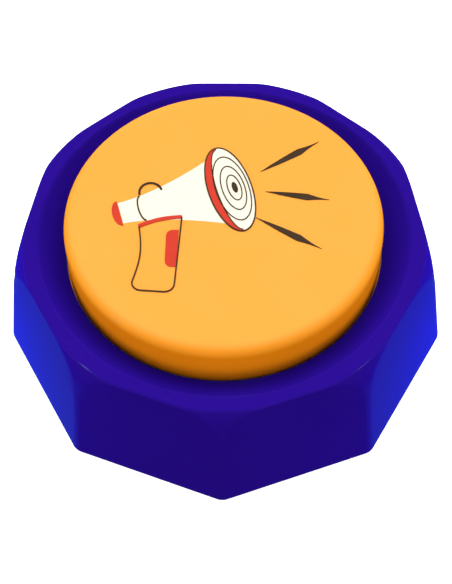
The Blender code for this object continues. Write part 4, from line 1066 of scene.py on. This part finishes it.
def make_finishes():
    """Finish of every material slot; colours are linear (r, g, b) and roughness is a range."""
    return {
        "shell": shell_material(),
        "button": button_material(),
        "chassis": surface("white_moulding", (0.68, 0.68, 0.66), (0.76, 0.76, 0.74), (0.42, 0.55)),
        "rubber": surface("black_rubber", (0.012, 0.012, 0.013), (0.03, 0.03, 0.03), (0.75, 0.9),
                          bump_grain=2500, bump=0.03 * MM),
        "silicone": surface("grey_silicone", (0.38, 0.39, 0.40), (0.48, 0.49, 0.50), (0.5, 0.65)),
        "black": surface("black_moulding", (0.018, 0.018, 0.02), (0.035, 0.035, 0.04)),
        "steel": surface("plated_steel", (0.52, 0.52, 0.50), (0.70, 0.70, 0.68), (0.22, 0.38),
                         metallic=1.0, bump=0.004 * MM, stretch=(1, 1, 6)),
        "board": surface("solder_mask", (0.010, 0.12, 0.03), (0.02, 0.20, 0.06), (0.25, 0.4),
                         grain=400, coat=0.3),
        "paper": surface("cone_paper", (0.03, 0.03, 0.03), (0.06, 0.06, 0.055), (0.85, 0.95),
                         grain=900, bump_grain=3000, bump=0.04 * MM),
        "can": surface("capacitor_sleeve", (0.012, 0.016, 0.09), (0.02, 0.028, 0.14), (0.25, 0.4)),
        "cell": surface("battery_wrap", (0.22, 0.24, 0.26), (0.27, 0.29, 0.31), (0.28, 0.36),
                        grain=120, metallic=0.4),
        "wire_red": surface("red_insulation", (0.42, 0.012, 0.01), (0.58, 0.02, 0.016)),
        "wire_black": surface("black_insulation", (0.012, 0.012, 0.012), (0.03, 0.03, 0.03)),
        "ribbon": surface("flat_cable", (0.30, 0.30, 0.33), (0.42, 0.42, 0.45), stretch=(1, 40, 1)),
    }


def make_inks():
    inks = {
        "cream": ((0.82, 0.76, 0.62), (0.88, 0.82, 0.67)),
        "red": ((0.54, 0.036, 0.018), (0.62, 0.045, 0.023)),
        "brown": ((0.035, 0.02, 0.01), (0.06, 0.035, 0.018)),
    }
    return {name: surface(name + "_ink", *colours, grain=300, specular=0.1)
            for name, colours in inks.items()}


def paint_frame(finishes):
    """Give every CAD node the finish of its material slot."""
    for entry in frame["record"]["subparts"]:
        node = frame["nodes"][entry["node"]]
        node.data.materials.clear()
        node.data.materials.append(finishes[entry["material_slot"]])


# -------- studio
def stage_piece(bm, name, colour, glow):
    """Part of the surroundings that only the camera and the lights see."""
    material, tree, shader = new_material(name)
    feed(tree, shader, {"Base Color": (*colour, 1), "Roughness": 0.9,
                        "Emission Color": (*colour, 1), "Emission Strength": glow})
    piece = mesh_object(bm, name, material)
    piece.visible_glossy = False
    piece.visible_diffuse = False
    return piece


def make_floor():
    """Pale floor, and a white backdrop far behind it that only fills the view."""
    bm = bmesh.new()
    bm.faces.new([bm.verts.new((*polar(FLOOR_REACH, 7.5 * k), 0)) for k in range(48)])
    stage_piece(bm, "studio_floor", (0.98, 0.98, 0.98), 0.9)
    dome = solid(add_lathe, arc((0, 0), 0.98 * FLOOR_REACH, 90, 0, 16), (0, 0), 48)
    backdrop = stage_piece(dome, "studio_backdrop", WHITE, 1.0)
    backdrop.visible_shadow = False
    backdrop.visible_transmission = False


def aim(lamp, azimuth, elevation, distance):
    """Put a light in a direction from the object and turn it towards it."""
    level = radians(elevation)
    offset = Vector((*polar(distance * cos(level), azimuth), distance * sin(level)))
    lamp.location = AXIS + Vector((0, 0, RIM_Z / 2)) + offset
    lamp.rotation_euler = offset.to_track_quat("Z", "Y").to_euler()


def sun(name, azimuth, elevation, strength, width):
    """Very large, far, soft light; width is its apparent size in degrees."""
    light = bpy.data.lights.new(name, "SUN")
    light.energy = strength
    light.angle = radians(width)
    lamp = new_object(name, light)
    lamp.visible_glossy = False
    aim(lamp, azimuth, elevation, 1.0)


def area_lamp(name, size, power, colour):
    light = bpy.data.lights.new(name, "AREA")
    light.shape = "RECTANGLE"
    light.size, light.size_y = size
    light.energy = power
    light.color = colour
    lamp = new_object(name, light)
    lamp.visible_camera = False
    return lamp


def softbox(name, azimuth, elevation, distance, size, power, colour=WHITE):
    """Small light: a coloured one only tints surfaces, a white one is only mirrored in them."""
    lamp = area_lamp(name, size, power, colour)
    lamp.visible_glossy = colour == WHITE
    lamp.visible_diffuse = not lamp.visible_glossy
    aim(lamp, azimuth, elevation, distance)


def table_glow(name, azimuth, towards_back, power):
    """Blue card lying on the table along one side; it only shows as a reflection in that side."""
    depth, length, excess = 40 * MM, 52 * MM, 20 * MM
    lamp = area_lamp(name, (depth, length), power, GLOW_BLUE)
    lamp.visible_diffuse = False
    outwards = Vector((*polar(APOTHEM + depth / 2, azimuth), 0.5 * MM))
    sideways = Vector((*polar(excess / 2, azimuth + 90 * towards_back), 0))
    lamp.location = AXIS + outwards + sideways
    lamp.rotation_euler = (pi, 0, radians(azimuth))


def make_lights():
    world = bpy.data.worlds.new("studio_air")
    world.use_nodes = True
    background = world.node_tree.nodes["Background"]
    background.inputs["Color"].default_value = (1, 1, 1, 1)
    background.inputs["Strength"].default_value = 0.07
    bpy.context.scene.world = world
    sun("key", 90, 52, 4.0, 70)
    sun("front_fill", -90, 15, 0.6, 60)
    for side, middle in (("left", 180), ("right", 0)):
        towards_front = 1 if side == "left" else -1
        sun(side + "_fill", middle + 26 * towards_front, 10, 2.0, 50)
        softbox(side + "_azure", middle - 4 * towards_front, -8, 0.08, (0.1, 0.006), 0.085, AZURE)
        table_glow(side + "_glow", middle + 30 * towards_front, -towards_front, 0.003)
        softbox(side + "_glint", middle + 27 * towards_front, 19, 0.6, (0.04, 0.04), 2.5)


def make_camera():
    """Three-quarter view from above the front corner, nearly on the object's own middle plane."""
    camera = bpy.data.cameras.new("camera")
    camera.lens = LENS
    camera.sensor_width = 36
    eye = new_object("camera", camera)
    place = Matrix.Translation(AXIS + Vector(EYE))
    yaw = Matrix.Rotation(radians(EYE_YAW), 4, "Z")
    tilt = Matrix.Rotation(radians(90 - EYE_DOWN), 4, "X")
    roll = Matrix.Rotation(radians(EYE_ROLL), 4, "Z")
    eye.matrix_world = place @ yaw @ tilt @ roll
    camera.clip_start = 0.01
    camera.clip_end = 20
    bpy.context.scene.camera = eye


def main():
    finishes = make_finishes()
    paint_frame(finishes)
    make_shell(finishes["shell"])
    make_button(finishes["button"])
    make_picture(make_inks())
    make_cover(finishes["shell"])
    make_door(finishes["shell"])
    make_feet(finishes["rubber"])
    make_key(finishes["button"])
    make_knob(finishes["black"])
    make_screws(finishes["steel"])
    make_springs(finishes["steel"])
    make_dome(finishes["silicone"])
    make_cells(finishes["cell"], finishes["steel"])
    make_contact_springs(finishes["steel"])
    make_floor()
    make_lights()
    make_camera()
    bpy.context.scene.view_settings.view_transform = "Standard"


main()
